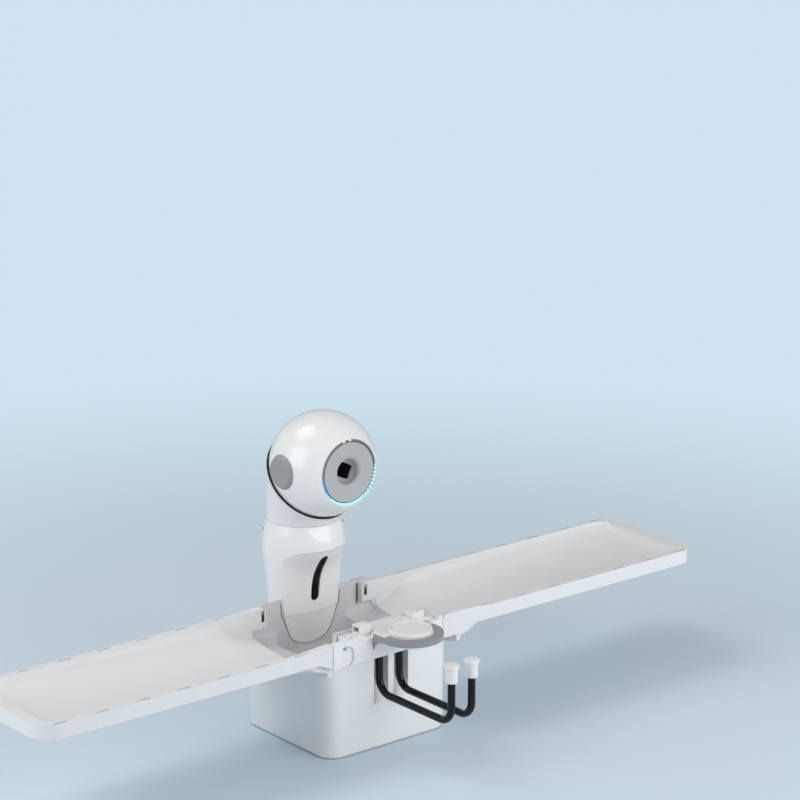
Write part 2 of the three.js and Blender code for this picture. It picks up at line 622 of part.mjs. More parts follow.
function buildHooks() {
  const halfSpacing = hook.spacing / 2;
  for (const [name, x] of [["left", -halfSpacing], ["right", halfSpacing]]) {
    place(`hook_rod_${name}`, pipe(hookPath(x), hook.rodRadius, hook.sides), blackGloss);
    const bore = hook.rodRadius + gap;
    const shoulder = cap.top - cap.flangeHeight;
    place(`hook_cap_${name}`, revolve([
      [bore, cap.bottom], [cap.sleeveRadius, cap.bottom], [cap.sleeveRadius, shoulder],
      [cap.flangeRadius, shoulder + cap.edge], [cap.flangeRadius, cap.top - cap.edge],
      [cap.flangeRadius - cap.edge, cap.top], [0, cap.top], [0, hook.tipTop + gap], [bore, hook.tipTop + gap],
      [bore, cap.bottom],
    ], "z", sides.rod).translate([x, hook.tipY, 0]), satinWhite);
  }
  const bar = box(-crossbar.width / 2, crossbar.width / 2, hook.shankY - crossbar.depth / 2,
    hook.shankY + crossbar.depth / 2, crossbar.top - crossbar.height, crossbar.top);
  const bores = [[-halfSpacing, hook.rodRadius], [0, screw.radius], [halfSpacing, hook.rodRadius]];
  const holes = bores.map(([x, radius]) =>
    rod("z", radius + shaftGap, crossbar.top - crossbar.height - overrun, crossbar.top + overrun, [x, hook.shankY]));
  place("hook_crossbar", cut(bar, ...holes), brass);
}

function buildLatches() {
  const bottom = rail.deck + gap;
  for (const [name, side] of [["left", -1], ["right", 1]]) {
    const far = latch.near + latch.width;
    const back = latch.front + latch.depth;
    const middle = (latch.front + back) / 2;
    const block = box(...span(side, latch.near, far), latch.front, back, bottom, latch.top);
    const tongue = box(...span(side, far - overrun, far + latch.tongueReach), middle - latch.tongueDepth / 2,
      middle + latch.tongueDepth / 2, bottom, bottom + latch.tongueHeight);
    const notch = box(...span(side, far - latch.notchDepth, far + overrun), latch.front + latch.notchWidth / 2,
      back - latch.notchWidth / 2, bottom + latch.tongueHeight + latch.notchDrop, latch.top - latch.notchDrop);
    place(`latch_${name}`, cut(join(block, tongue), notch), satinWhite);
  }
}

// Wing: a dished tray inside a rim whose skirts hide the dish's underside
function dishSection(x, depth, widthShare, grow) {
  const front = wing.front + wing.frontRim;
  const rear = wing.rear - wing.rearRim;
  const middle = (front + rear) / 2;
  const half = ((rear - front) / 2) * widthShare + grow;
  const floor = wing.rimTop - depth - grow;
  const top = wing.rimTop + overrun;
  const curve = Array.from({ length: wing.sectionSteps + 1 }, (_, i) => {
    const u = -Math.cos((i / wing.sectionSteps) * Math.PI);
    const drop = (1 - Math.abs(u) ** wing.sectionPower) ** (1 / wing.sectionPower);
    return new THREE.Vector3(x, middle + half * u, wing.rimTop - (wing.rimTop - floor) * drop);
  });
  return [new THREE.Vector3(x, middle - half, top), ...curve, new THREE.Vector3(x, middle + half, top)];
}

// Along the trough from its inner end: how far, how deep and how wide it is, as shares. It flares towards
// the hinge, where flat upright walls cut it off in line with the rims, and closes roundly at the tip.
const dishShares = [
  [0, 1, 1.46], [0.06, 1, 1.2], [0.125, 1, 1], [0.9, 1, 1], [0.95, 0.96, 0.985], [0.98, 0.82, 0.95], [1, 0.35, 0.87],
];

function wingDish(grow, from) {
  const end = wing.tip - wing.tipRim + grow;
  const start = wing.troughInner;
  const deep = wing.rimTop - wing.floorInner;
  const shallow = wing.rimTop - wing.floorOuter;
  const rings = dishShares.map(([along, depthShare, widthShare]) => {
    const depth = (deep + (shallow - deep) * along) * depthShare;
    return dishSection(start + (end - start) * along, depth, widthShare, grow);
  });
  const first = from < start ? [dishSection(from, deep, dishShares[0][2], grow)] : [];
  return loft([...first, ...rings]).intersect(box(0, 2 * wing.tip, wing.front + wing.frontRim - grow,
    wing.rear - wing.rearRim + grow, 0, 2 * wing.rimTop));
}

function wingPlan(inset, inner) {
  const shape = new THREE.Shape();
  const radius = wing.cornerRadius - inset;
  const tip = wing.tip - inset;
  const front = wing.front + inset;
  const rear = wing.rear - inset;
  shape.moveTo(inner, front);
  shape.lineTo(tip - radius, front);
  shape.absarc(tip - radius, front + radius, radius, -Math.PI / 2, 0, false);
  shape.absarc(tip - radius, rear - radius, radius, 0, Math.PI / 2, false);
  shape.lineTo(inner, rear);
  return shape;
}

function wingSolid(fasciaReachesRail) {
  const rimUnder = wing.rimTop - wing.sheet;
  const frame = cut(
    prismZ(wingPlan(0, wing.skirtInner), wing.skirtBottom, wing.rimTop),
    prismZ(wingPlan(wing.sheet, wing.skirtInner - overrun), wing.skirtBottom - overrun, rimUnder));
  const dish = wingDish(wing.skin, wing.troughInner).intersect(
    box(wing.troughInner, wing.tip, wing.front, wing.rear, 0, wing.rimTop));
  const rimFront = wing.front + wing.frontRim;
  const fasciaEnd = fasciaReachesRail ? wing.rightFasciaEnd : wing.skirtInner;
  const fascia = prismY([
    [fasciaEnd, wing.fasciaBottom], [wing.fasciaStep, wing.fasciaBottom],
    [wing.fasciaStep + wing.sheet, wing.fasciaBottom],
    [wing.fasciaBlend, wing.skirtBottom], [wing.riseStart, wing.skirtBottom], [wing.riseStart, wing.rimTop],
    [(wing.riseStart + wing.riseEnd) / 2, (wing.rimTop + wing.rimRise) / 2], [wing.riseEnd, wing.rimRise],
    [fasciaEnd, wing.rimRise],
  ], wing.front, wing.front + wing.fasciaThickness);
  const fasciaCorner = cut(
    box(fasciaEnd - overrun, hinge.x, wing.front - overrun, rimFront, hinge.z, wing.rimRise + overrun),
    hingeDisc(1, hinge.x - fasciaEnd + 2 * gap, wing.front - 2 * overrun, rimFront + overrun));
  const rise = prismY([
    [wing.skirtInner, rimUnder], [wing.riseStart, rimUnder], [wing.riseStart, wing.rimTop],
    [(wing.riseStart + wing.riseEnd) / 2, (wing.rimTop + wing.rimRise) / 2], [wing.riseEnd, wing.rimRise],
    [wing.skirtInner, wing.rimRise],
  ], wing.front, rimFront);
  const bridge = box(hinge.x, wing.skirtInner + overrun, wing.front, rimFront, wing.rimRise - wing.topPlate,
    wing.rimRise);
  const frontWall = box(wing.skirtInner - ear.reach, wing.skirtInner + overrun, rimFront - wing.skin, rimFront,
    ear.bottom, wing.rimTop);
  const frontEarFront = rimFront - wing.skin;
  const frontEarBack = frontEarFront + ear.frontDepth;
  const frontEar = join(
    hingeDisc(1, hinge.frontEarRadius, frontEarFront, frontEarBack),
    box(hinge.x, hinge.x + ear.reach, frontEarFront, frontEarBack, ear.bottom, wing.rimTop));
  const earFront = wing.rear - wing.rearRim;
  const rearEar = join(
    hingeDisc(1, hinge.rearEarRadius, earFront, ear.rearBack),
    box(hinge.x - hinge.rearEarRadius, hinge.x, earFront, ear.rearBack, ear.rearBottom, hinge.z),
    box(hinge.x, wing.skirtInner + overrun, earFront, ear.rearBack, ear.rearBottom, wing.rimTop));
  const keyTop = hinge.z + ear.keyWidth / 2;
  const key = box(hinge.x - ear.keyWidth / 2, hinge.x + ear.keyWidth / 2, earFront - overrun,
    earFront + ear.keyDepth, keyTop - ear.keyDrop, keyTop);
  const pinBores = [[frontEarFront, frontEarBack], [earFront, ear.rearBack]].map(([from, to]) =>
    rod("y", hinge.pinRadius + shaftGap, from - overrun, to + overrun, [hinge.x, hinge.z], sides.pin));
  const slots = [];
  for (let i = 0; i < slot.count; i += 1) {
    const x = slot.first + i * slot.pitch;
    for (const y of [wing.front + wing.frontRim / 2, wing.rear - wing.rearRim / 2]) {
      slots.push(box(x, x + slot.length, y - slot.width / 2, y + slot.width / 2,
        rimUnder - wing.sheet, wing.rimRise + overrun));
    }
  }
  const opening = wingDish(0, wing.inner - overrun);
  const earRoom = cut(opening, box(0, hinge.x + ear.reach, frontEarFront, frontEarBack, ear.bottom, wing.rimTop));
  const pieces = fasciaReachesRail ? [dish, fascia, rise, bridge, rearEar] : [dish, fascia, rise, rearEar];
  const body = cut(join(frame, ...pieces), earRoom);
  return cut(join(body, frontEar, frontWall), fasciaCorner, key, ...pinBores, ...slots);
}

function buildWings() {
  place("left_wing", wingSolid(false).mirror([1, 0, 0]), satinWhite);
  place("right_wing", wingSolid(true), satinWhite);
  const rearFront = wing.rear - wing.rearRim + ear.keyDepth / 2;
  const rearBack = tray.rearWall + tray.lugDepth;
  const frontBack = wing.front + wing.frontRim - wing.skin + ear.frontDepth;
  for (const [name, side, front] of [
    ["left", -1, rail.front + pocket.depth / 2],
    ["right", 1, wing.front + wing.fasciaThickness + 2 * gap],
  ]) {
    const centre = [side * hinge.x, hinge.z];
    place(`${name}_front_hinge_pin`, rod("y", hinge.pinRadius, front, frontBack, centre, sides.pin),
      steel);
    place(`${name}_rear_hinge_pin`, rod("y", hinge.pinRadius, rearFront, rearBack, centre, sides.pin),
      steel);
  }
}

// Ball tray: a trough between the wings over a deep pit that leads to the hopper
function trayPit(grow, topZ, footZ) {
  const outlet = tray.pitFootHalfWidth + grow;
  const radius = tray.pitRadius + grow;
  const upper = [topZ, tray.pitKnee - grow].map((z) =>
    roundedRectangle(tray.pitHalfWidth + grow, tray.pitFront - grow, tray.rearWall + grow, radius, z));
  return loft([...upper, roundedRectangle(outlet, bowl.y - outlet, bowl.y + outlet, radius, footZ)]);
}

// The way across the tray: a U-shaped floor that falls from each wing's end through the housing's side
// wall into the pit
function trayTrough(grow, extra) {
  const corner = tray.troughRadius + grow;
  const section = (x, lip) => {
    const [front, back] = [tray.pitFront - grow, tray.rearWall + grow];
    const low = lip - grow;
    const bend = (y, from) => Array.from({ length: tray.troughSteps + 1 }, (_, i) => {
      const angle = from + ((i / tray.troughSteps) * Math.PI) / 2;
      return new THREE.Vector3(x, y + corner * Math.cos(angle), low + corner + corner * Math.sin(angle));
    });
    const top = tray.top + extra;
    return [new THREE.Vector3(x, front, top), ...bend(front + corner, Math.PI),
      ...bend(back - corner, -Math.PI / 2), new THREE.Vector3(x, back, top)];
  };
  const right = [[tray.pitHalfWidth - tray.skin, tray.lip - tray.fall], [tray.troughEnd, tray.lip]];
  if (extra > 0) right.push([tray.troughEnd + extra, tray.lip]);
  const left = [...right].reverse().map(([x, lip]) => [-x, lip]);
  return loft([...left, ...right].map(([x, lip]) => section(x, lip)));
}

function buildTray() {
  const halfWidth = tray.halfWidth;
  const walls = box(-halfWidth, halfWidth, tray.front - tray.skin, tray.rearWall + tray.skin,
    tray.deckTop - overrun, tray.top);
  const pit = trayPit(tray.skin, tray.deckTop, tray.pitFoot);
  const pitRoom = trayPit(0, tray.deckTop + overrun, tray.pitFoot - gap);
  const trough = trayTrough(tray.skin, 0).intersect(
    box(-housing.width, housing.width, -housing.depth, housing.depth, 0, tray.deckTop));
  const outline = housingLoft(housing.wall, tray.deckTop - 2 * overrun, tray.deckTop);
  const deck = outline.intersect(box(-housing.width, housing.width, -housing.depth, housing.depth,
    rail.bottom + gap, tray.deckTop));
  const lugs = [-1, 1].map((side) => box(...span(side, halfWidth - overrun, tray.lugReach),
    tray.rearWall, tray.rearWall + tray.lugDepth, tray.deckTop - gap, tray.top));
  const pinBores = [-1, 1].map((side) => rod("y", hinge.pinRadius + shaftGap, tray.rearWall - overrun,
    tray.rearWall + tray.lugDepth + overrun, [side * hinge.x, hinge.z], sides.pin));
  const gearRoom = rod("z", gearTip + 2 * gap, rail.deck - gap, 2 * rail.endTop, [0, hook.shankY], sides.disc);
  const railRoom = box(-rail.leftEnd - gap, rail.rightEnd + gap, 2 * rail.front, rail.back + gap, 0, 2 * rail.endTop);
  const lidRoom = box(-nose.halfWidth, nose.halfWidth, 2 * rail.front, nose.lidBack + gap, rail.deck - gap,
    2 * rail.endTop);
  const latchRoom = box(-housing.width, housing.width, 2 * rail.front, tray.front, rail.deck - gap, 2 * rail.endTop);
  const tubeRoom = pipe(tubeLine, tubeOuter + 2 * gap, tube.sides);
  place("centre_tray", cut(join(walls, trough, pit, deck, ...lugs), trayTrough(0, 2 * overrun), pitRoom, railRoom,
    lidRoom, gearRoom, latchRoom, columnEnvelope, tubeRoom, ...pinBores), paleGrey);
}

// Hopper bowl, star-wheel feeder and its motor
function buildFeeder() {
  const inner = bowl.radius - bowl.wall;
  const floorTop = bowl.floor + bowl.wall;
  const bore = feedMotor.shaftRadius + 2 * shaftGap;
  const shell = revolve([
    [bore, bowl.floor], [bowl.radius, bowl.floor], [bowl.radius, bowl.rim], [inner, bowl.rim],
    [inner, floorTop], [bore, floorTop], [bore, bowl.floor],
  ], "z", sides.disc).translate([0, bowl.y, 0]);
  const mouth = box(-tubeOuter, tubeOuter, bowl.y, bowlBack + overrun, floorTop + gap, bowl.mouthTop);
  place("hopper_bowl", cut(shell, mouth), paleGrey);
  const bottom = floorTop + feeder.lift;
  const top = bottom + feeder.height;
  const disc = rod("z", feeder.radius, bottom, top, [0, bowl.y], sides.disc);
  const pockets = Array.from({ length: feeder.pockets }, (_, i) => {
    const angle = Math.PI / 2 + (i * 2 * Math.PI) / feeder.pockets;
    const at = [feeder.pocketCircle * Math.cos(angle), bowl.y + feeder.pocketCircle * Math.sin(angle)];
    return rod("z", feeder.pocketRadius, bottom - overrun, top + overrun, at, sides.pocket);
  });
  const socketFloor = bowl.floor - gap - feedMotor.socketDepth;
  const shaft = rod("z", feedMotor.shaftRadius, socketFloor + gap, bottom + gap, [0, bowl.y], sides.pin);
  place("feeder_disc", join(cut(disc, ...pockets), shaft), midGrey);
  place("feeder_motor", cut(
    rod("z", feedMotor.radius, feedMotor.bottom, bowl.floor - gap, [0, bowl.y]),
    rod("z", feedMotor.shaftRadius + shaftGap, socketFloor, bowl.floor + overrun, [0, bowl.y],
      sides.pin)), steel);
}

function buildFeedTube() {
  const outside = pipe(tubeLine, tubeOuter, tube.sides);
  const first = tubeLine[0].clone().add(new THREE.Vector3(0, -overrun, 0));
  const last = tubeLine[tubeLine.length - 1].clone().add(new THREE.Vector3(0, 0, overrun));
  const inside = pipe([first, ...tubeLine.slice(1, -1), last], tubeInner, tube.sides);
  place("feed_tube", cut(outside, inside), satinWhite);
}

// Column shell with its scooped bib, ball window and turntable ledge
function buildColumn() {
  const outer = cut(columnSolid(0), scoop(0));
  const inner = cut(
    columnSolid(-column.wall, overrun, column.innerSides), scoop(column.wall, column.innerScoopSteps));
  const ledgeTop = column.top - column.ledgeDrop + column.ledge;
  const ledge = cut(
    rod("z", columnRadius, ledgeTop - column.ledge, ledgeTop, [0, column.y], sides.ledge).intersect(columnSolid(-gap)),
    rod("z", tubeOuter + 2 * gap, ledgeTop - 2 * column.ledge, ledgeTop + overrun, [0, column.y]));
  const slotShape = new THREE.Shape();
  const reach = window.length / 2 - window.width / 2;
  slotShape.absarc(0, window.centreZ + reach, window.width / 2, 0, Math.PI, false);
  slotShape.absarc(0, window.centreZ - reach, window.width / 2, Math.PI, 2 * Math.PI, false);
  const slotCut = solidOf(extrude(slotShape, columnRadius).rotateX(Math.PI / 2)
    .translate(0, column.y - tubeOuter / 2, 0));
  const tubeRoom = pipe(tubeLine, tubeOuter + 2 * gap, tube.sides);
  const frontFace = column.y - columnRadius;
  const thumb = solidOf(new THREE.SphereGeometry(dip.halfHeight, sides.plug, sides.curve)
    .scale(dip.halfWidth / dip.halfHeight, dip.depth / dip.halfHeight, 1).translate(dip.x, frontFace, dip.z));
  const plugs = plugPlaces().map(({ centre, direction }) => plugSolid(centre, direction, plug.radius + gap));
  place("column_shell", cut(join(cut(outer, inner), ledge), slotCut, tubeRoom, thumb, ...plugs), glossWhite);
  for (const { name, centre, direction } of plugPlaces()) {
    place(name, plugSolid(centre, direction, plug.radius), midGrey);
  }
  place("pan_bearing", ring("z", bearing.outer, bearing.inner, ledgeTop + gap, column.top, [0, column.y],
    sides.ledge), steel);
  place("pan_motor", rod("z", panMotor.radius, ledgeTop - column.ledge - gap - panMotor.height,
    ledgeTop - column.ledge - gap, [panMotor.x, column.y]), steel);
}

// Two small plugs that show on the column's outline, left rear and right front
const plugSpots = [
  { name: "rear_plug", degrees: 141, heightShare: 0.905, radiusShare: 0.972 },
  { name: "front_plug", degrees: -39, heightShare: 0.965, radiusShare: 0.935 },
];

function plugPlaces() {
  return plugSpots.map(({ name, degrees, heightShare, radiusShare }) => {
    const angle = THREE.MathUtils.degToRad(degrees);
    const direction = new THREE.Vector3(Math.cos(angle), Math.sin(angle), 0);
    const centre = new THREE.Vector3(0, column.y, column.bottom + columnHeight * heightShare)
      .addScaledVector(direction, columnRadius * radiusShare + plug.stand - plug.length / 2);
    return { name, centre, direction };
  });
}

function plugSolid(centre, direction, radius) {
  const geometry = new THREE.CylinderGeometry(radius, radius, plug.length, sides.plug);
  const turn = new THREE.Quaternion().setFromUnitVectors(new THREE.Vector3(0, 1, 0), direction);
  return solidOf(geometry.applyQuaternion(turn).translate(centre.x, centre.y, centre.z));
}

// Neck: a bent sleeve from the column's round top to a spherical cup round the head
function neckSkin(radiusAtFoot, sphereRadius, rimDistance, footZ) {
  const rimCentre = headCentre.clone().addScaledVector(neckAxis, -rimDistance);
  const rimRadius = Math.sqrt(sphereRadius ** 2 - rimDistance ** 2);
  const rimUp = new THREE.Vector3(0, Math.cos(neckTilt), Math.sin(neckTilt));
  const rings = Array.from({ length: neck.steps + 1 }, () => []);
  for (let i = 0; i < sides.hull; i += 1) {
    const angle = (2 * Math.PI * i) / sides.hull;
    const foot = new THREE.Vector3(
      radiusAtFoot * Math.cos(angle), column.y + radiusAtFoot * Math.sin(angle), footZ);
    const rim = rimCentre.clone().addScaledVector(new THREE.Vector3(1, 0, 0), rimRadius * Math.cos(angle))
      .addScaledVector(rimUp, rimRadius * Math.sin(angle));
    const length = rim.distanceTo(foot);
    const outward = rim.clone().sub(headCentre).normalize();
    const leave = neckAxis.clone().addScaledVector(outward, -neckAxis.dot(outward)).normalize();
    const pull = neck.pullShare * length;
    for (let k = 0; k <= neck.steps; k += 1) {
      const t = k / neck.steps;
      rings[k].push(new THREE.Vector3()
        .addScaledVector(foot, 2 * t ** 3 - 3 * t ** 2 + 1)
        .addScaledVector(new THREE.Vector3(0, 0, 1), pull * (t ** 3 - 2 * t ** 2 + t))
        .addScaledVector(rim, 3 * t ** 2 - 2 * t ** 3)
        .addScaledVector(leave, pull * (t ** 3 - t ** 2)));
    }
  }
  return loft(rings);
}

const ball = (radius, across = sides.hull, down = head.rings) =>
  solidOf(new THREE.SphereGeometry(radius, across, down));

// A rod along the neck's axis through the head centre, from one distance to another
function neckRod(radius, from, to) {
  const geometry = new THREE.CylinderGeometry(radius, radius, to - from, sides.ledge)
    .translate(0, (from + to) / 2, 0);
  const turn = new THREE.Quaternion().setFromUnitVectors(new THREE.Vector3(0, 1, 0), neckAxis);
  return solidOf(geometry.applyQuaternion(turn).translate(0, head.y, head.z));
}

function elbowLine() {
  const bend = column.y - head.y - neck.elbowLead;
  const line = [new THREE.Vector3(0, column.y, column.top + 2 * gap)];
  for (let i = 0; i <= neck.elbowSteps; i += 1) {
    const angle = (i / neck.elbowSteps) * (Math.PI / 2);
    line.push(new THREE.Vector3(0, column.y - bend + bend * Math.cos(angle), head.z - bend + bend * Math.sin(angle)));
  }
  return line;
}

function buildNeck() {
  const footRadius = columnRadius * topShare;
  const footZ = column.top + neck.footGap;
  const skin = neckSkin(footRadius, neck.cupOuter, neck.rimDistance, footZ);
  const room = neckSkin(footRadius - neck.wall, neck.cupInner + gap, neck.rimDistance + 2 * neck.wall,
    footZ + neck.floor);
  const tubeHole = rod("z", tubeOuter + 2 * gap, footZ - overrun, footZ + 2 * overrun, [0, column.y]);
  place("neck_shell", cut(skin, room, ball(neck.cupInner).translate(headCentre.toArray()), tubeHole), glossWhite);
  const band = [neck.rimDistance, neck.rimDistance + seal.width];
  const [innerRim, innerFoot] = band.map((d) => [Math.sqrt(seal.inner ** 2 - d ** 2), -d]);
  const [outerRim, outerFoot] = band.map((d) => [Math.sqrt(seal.outer ** 2 - d ** 2), -d]);
  const tilt = THREE.MathUtils.radToDeg(neckTilt);
  place("neck_seal", revolve([innerRim, outerRim, outerFoot, innerFoot, innerRim], "z", sides.ledge)
    .rotate([tilt, 0, 0]).translate(headCentre.toArray()), blackMatt);
  const line = elbowLine();
  const ends = [line[0].clone().add(new THREE.Vector3(0, 0, -overrun)),
    line[line.length - 1].clone().add(new THREE.Vector3(0, -overrun, 0))];
  place("neck_tube", cut(pipe(line, tubeOuter, tube.sides),
    pipe([ends[0], ...line.slice(1, -1), ends[1]], tubeInner, tube.sides)), satinWhite);
  for (const [name, side] of [["left", -1], ["right", 1]]) buildTiltArm(name, side);
}

// Each tilt arm rises from the cup, spreads round the inside of the head and ends at the tilt axis
function buildTiltArm(name, side) {
  const sector = new THREE.Shape();
  const reach = THREE.MathUtils.degToRad(tiltArm.reachDegrees);
  sector.absarc(0, 0, tiltArm.outer, 0, reach, false);
  sector.absarc(0, 0, tiltArm.inner, reach, 0, true);
  const half = tiltArm.width / 2;
  const arc = extrude(sector, tiltArm.width, tiltArm.steps).translate(0, 0, -half);
  const stemFrom = Math.sqrt(tiltArm.inner ** 2 - tiltArm.stemX ** 2);
  const stemTo = Math.sqrt(tiltArm.stemOuter ** 2 - (tiltArm.stemX + tiltArm.stemWidth / 2) ** 2);
  const stem = new THREE.BoxGeometry(tiltArm.stemWidth, stemTo - stemFrom - 2 * tiltArm.weld, tiltArm.width)
    .translate(tiltArm.stemX, (stemTo + stemFrom) / 2 + tiltArm.weld, 0);
  const plain = join(solidOf(arc), solidOf(stem));
  const turned = plain.rotate([-90 + THREE.MathUtils.radToDeg(neckTilt), 0, 0]);
  const placed = (side < 0 ? turned.mirror([1, 0, 0]) : turned).translate(headCentre.toArray());
  const pin = rod("x", hinge.pinRadius, ...span(side, tiltArm.inner + tiltArm.weld, sideCap.base - gap),
    [head.y, head.z], sides.pin);
  place(`${name}_tilt_arm`, join(placed, pin), steel);
}

// Head: everything here is set out from the head's centre
const headGroup = new THREE.Group();
headGroup.position.copy(headCentre);
robot.add(headGroup);

function buildHead() {
  const inner = head.radius - head.wall;
  const flats = [-1, 1].map((side) => box(...span(side, head.sideFlat, 2 * head.radius),
    -head.radius, head.radius, -head.radius, head.radius));
  const front = box(-head.radius, head.radius, -2 * head.radius, -head.frontFlat, -head.radius, head.radius);
  const mouth = rod("y", head.openRadius, -2 * head.radius, -dish.flangeBack + gap, [0, 0], sides.disc);
  const rear = neckRod(head.rearOpen, -2 * head.radius, -head.radius / 2).translate(
    [0, -head.y, -head.z]);
  const sideHoles = [-1, 1].map((side) => rod("x", sideCap.bossRadius + sideCap.bossGap,
    ...span(side, 0, 2 * head.radius)));
  place("head_shell", cut(ball(head.radius), ball(inner, head.innerSides, head.innerRings), ...flats, front, mouth,
    rear, ...sideHoles), glossWhite, headGroup);
  place("led_ring", ring("y", led.outer, led.inner, -led.front, -led.back, [0, 0], sides.disc), lit, headGroup);
  place("ring_trim", ring("y", trim.outer, trim.inner, -trim.front, -led.back, [0, 0], sides.disc), blackMatt,
    headGroup);
  const throat = dish.throatRadius;
  const hollow = dish.front - dish.hollow;
  place("nozzle_dish", revolve([
    [dish.radius, dish.front], [(dish.radius + dish.lipRadius) / 2, dish.front - dish.hollow / 2],
    [dish.lipRadius, hollow], [dish.lipRadius - dish.lipRoll, hollow - dish.lipFall],
    [throat + dish.throatEase, hollow - dish.lipDepth / 2], [throat, hollow - dish.lipDepth],
    [throat, dish.sleeveEnd], [throat + dish.sleeveWall, dish.sleeveEnd],
    [throat + dish.sleeveWall, dish.flangeBack], [dish.flangeRadius, dish.flangeBack],
    [dish.flangeRadius, dish.flangeFront], [dish.radius, dish.flangeFront], [dish.radius, dish.front],
  ].reverse(), "y", sides.disc).mirror([0, 1, 0]), paleGrey, headGroup);
  for (const [name, side] of [["left", -1], ["right", 1]]) {
    const cone = revolve([[0, sideCap.base], [sideCap.baseRadius, sideCap.base],
      [sideCap.baseRadius - sideCap.edge, sideCap.base + sideCap.skirt],
      [sideCap.faceRadius + sideCap.edge, sideCap.face - sideCap.edge],
      [sideCap.faceRadius, sideCap.face], [0, sideCap.face]], "x", sides.cap);
    const boss = rod("x", sideCap.bossRadius, sideCap.bossInner, sideCap.base + sideCap.edge);
    const bore = rod("x", hinge.pinRadius + shaftGap, sideCap.bossInner - overrun, sideCap.base, [0, 0], sides.pin);
    const whole = cut(join(cone, boss), bore);
    place(`side_cap_${name}`, side < 0 ? whole.mirror([1, 0, 0]) : whole, midGrey, headGroup);
  }
}

// Launcher: a square duct between two friction wheels, rolled about the firing axis to set the spin
const launcherGroup = new THREE.Group();
launcherGroup.rotation.y = launcher.rollShare * 2 * Math.PI;
headGroup.add(launcherGroup);

function buildLauncher() {
  const outerHalf = ductHalf + launcher.wall;
  const wheelHeight = ballDiameter / 2 - wheel.bite + wheel.radius;
  const plate = rod("y", launcher.plateRadius, -launcher.front, -launcher.front + launcher.plate, [0, 0],
    sides.disc);
  const collar = rod("y", launcher.collarOuter, -launcher.collarFront, -launcher.front + gap, [0, 0],
    sides.disc);
  const collarRoom = rod("y", launcher.collarInner, -launcher.collarFront - overrun, -launcher.front,
    [0, 0], sides.disc);
  const duct = box(-outerHalf, outerHalf, -launcher.front, launcher.rear, -outerHalf, outerHalf);
  const sidePlate = box(outerHalf - gap, outerHalf + launcher.sideThickness, -launcher.sideFront, launcher.sideRear,
    -launcher.sideHeight, launcher.sideHeight);
  const bore = box(-ductHalf, ductHalf, -2 * launcher.front, launcher.rear + overrun, -ductHalf, ductHalf);
  const chord = Math.sqrt(wheel.radius ** 2 - (wheelHeight - outerHalf) ** 2) + wheel.windowEnds;
  const halfWindow = wheel.width / 2 + wheel.windowSides;
  const windows = [-1, 1].map((side) => box(-halfWindow, halfWindow, wheel.y - chord, wheel.y + chord,
    ...span(side, 0, 2 * outerHalf)));
  const shaftHoles = [-1, 1].map((side) => rod("x", wheel.shaftRadius + 2 * shaftGap, outerHalf - overrun,
    outerHalf + 2 * overrun, [wheel.y, side * wheelHeight], sides.pin));
  place("launcher_frame", cut(join(plate, collar, duct, sidePlate), collarRoom, bore, ...windows, ...shaftHoles),
    darkGrey, launcherGroup);
  for (const [name, side] of [["upper", 1], ["lower", -1]]) {
    const centre = [wheel.y, side * wheelHeight];
    const half = wheel.width / 2;
    place(`${name}_wheel_tyre`, ring("x", wheel.radius, wheel.hubRadius + gap, -half, half, centre, sides.cap),
      greyRubber, launcherGroup);
    const motorFrom = outerHalf + launcher.sideThickness + gap;
    const socketEnd = motorFrom + wheelMotor.socketDepth;
    place(`${name}_wheel_hub`, join(
      rod("x", wheel.hubRadius, -half, half, centre, sides.cap),
      rod("x", wheel.shaftRadius, half - gap, socketEnd - gap, centre, sides.pin)), midGrey, launcherGroup);
    place(`${name}_wheel_motor`, cut(
      rod("x", wheelMotor.radius, motorFrom, motorFrom + wheelMotor.length, centre),
      rod("x", wheel.shaftRadius + shaftGap, motorFrom - overrun, socketEnd, centre, sides.pin)), steel, launcherGroup);
  }
}

// Power inlet, rocker switch and control board
function buildElectrics() {
  const wallFace = housing.depth / 2 - housingInset(inlet.z);
  const body = join(
    rod("y", inlet.radius, wallFace - inlet.inner, wallFace + inlet.flange / 2, [inlet.x, inlet.z]),
    rod("y", inlet.flangeRadius, wallFace + gap, wallFace + gap + inlet.flange, [inlet.x, inlet.z]));
  const socket = rod("y", inlet.socketRadius, wallFace + inlet.flange - inlet.socketDepth, wallFace + overrun,
    [inlet.x, inlet.z], sides.pin);
  place("dc_inlet", cut(body, socket), blackMatt);
  const halfW = rocker.width / 2;
  const halfH = rocker.height / 2;
  const edge = rocker.bezel / 2;
  const frame = (grow, y0, y1) => box(rocker.x - halfW - grow, rocker.x + halfW + grow, y0, y1,
    rocker.z - halfH - grow, rocker.z + halfH + grow);
  place("switch_bezel", cut(join(
    frame(edge, wallFace - rocker.depth, wallFace + rocker.flange / 2),
    frame(rocker.bezel, wallFace + gap, wallFace + gap + rocker.flange)),
  frame(gap, wallFace - 2 * rocker.depth, wallFace + 2 * overrun)), blackMatt);
  place("power_switch", prismX([
    [wallFace - rocker.depth / 2, rocker.z], [wallFace - rocker.depth / 4, rocker.z - halfH + rocker.dip],
    [wallFace + rocker.stand, rocker.z - halfH + rocker.dip], [wallFace + rocker.stand - rocker.dip, rocker.z],
    [wallFace + rocker.stand, rocker.z + halfH - rocker.dip],
    [wallFace - rocker.depth / 4, rocker.z + halfH - rocker.dip],
  ], rocker.x - halfW + gap, rocker.x + halfW - gap), blackGloss);
  const wallInner = -(housing.width / 2 - housing.draft - housing.wall) + gap;
  place("control_board", box(wallInner, wallInner + board.thickness, bowl.y - board.length / 2,
    bowl.y + board.length / 2, board.bottom, board.bottom + board.height), boardGreen);
}

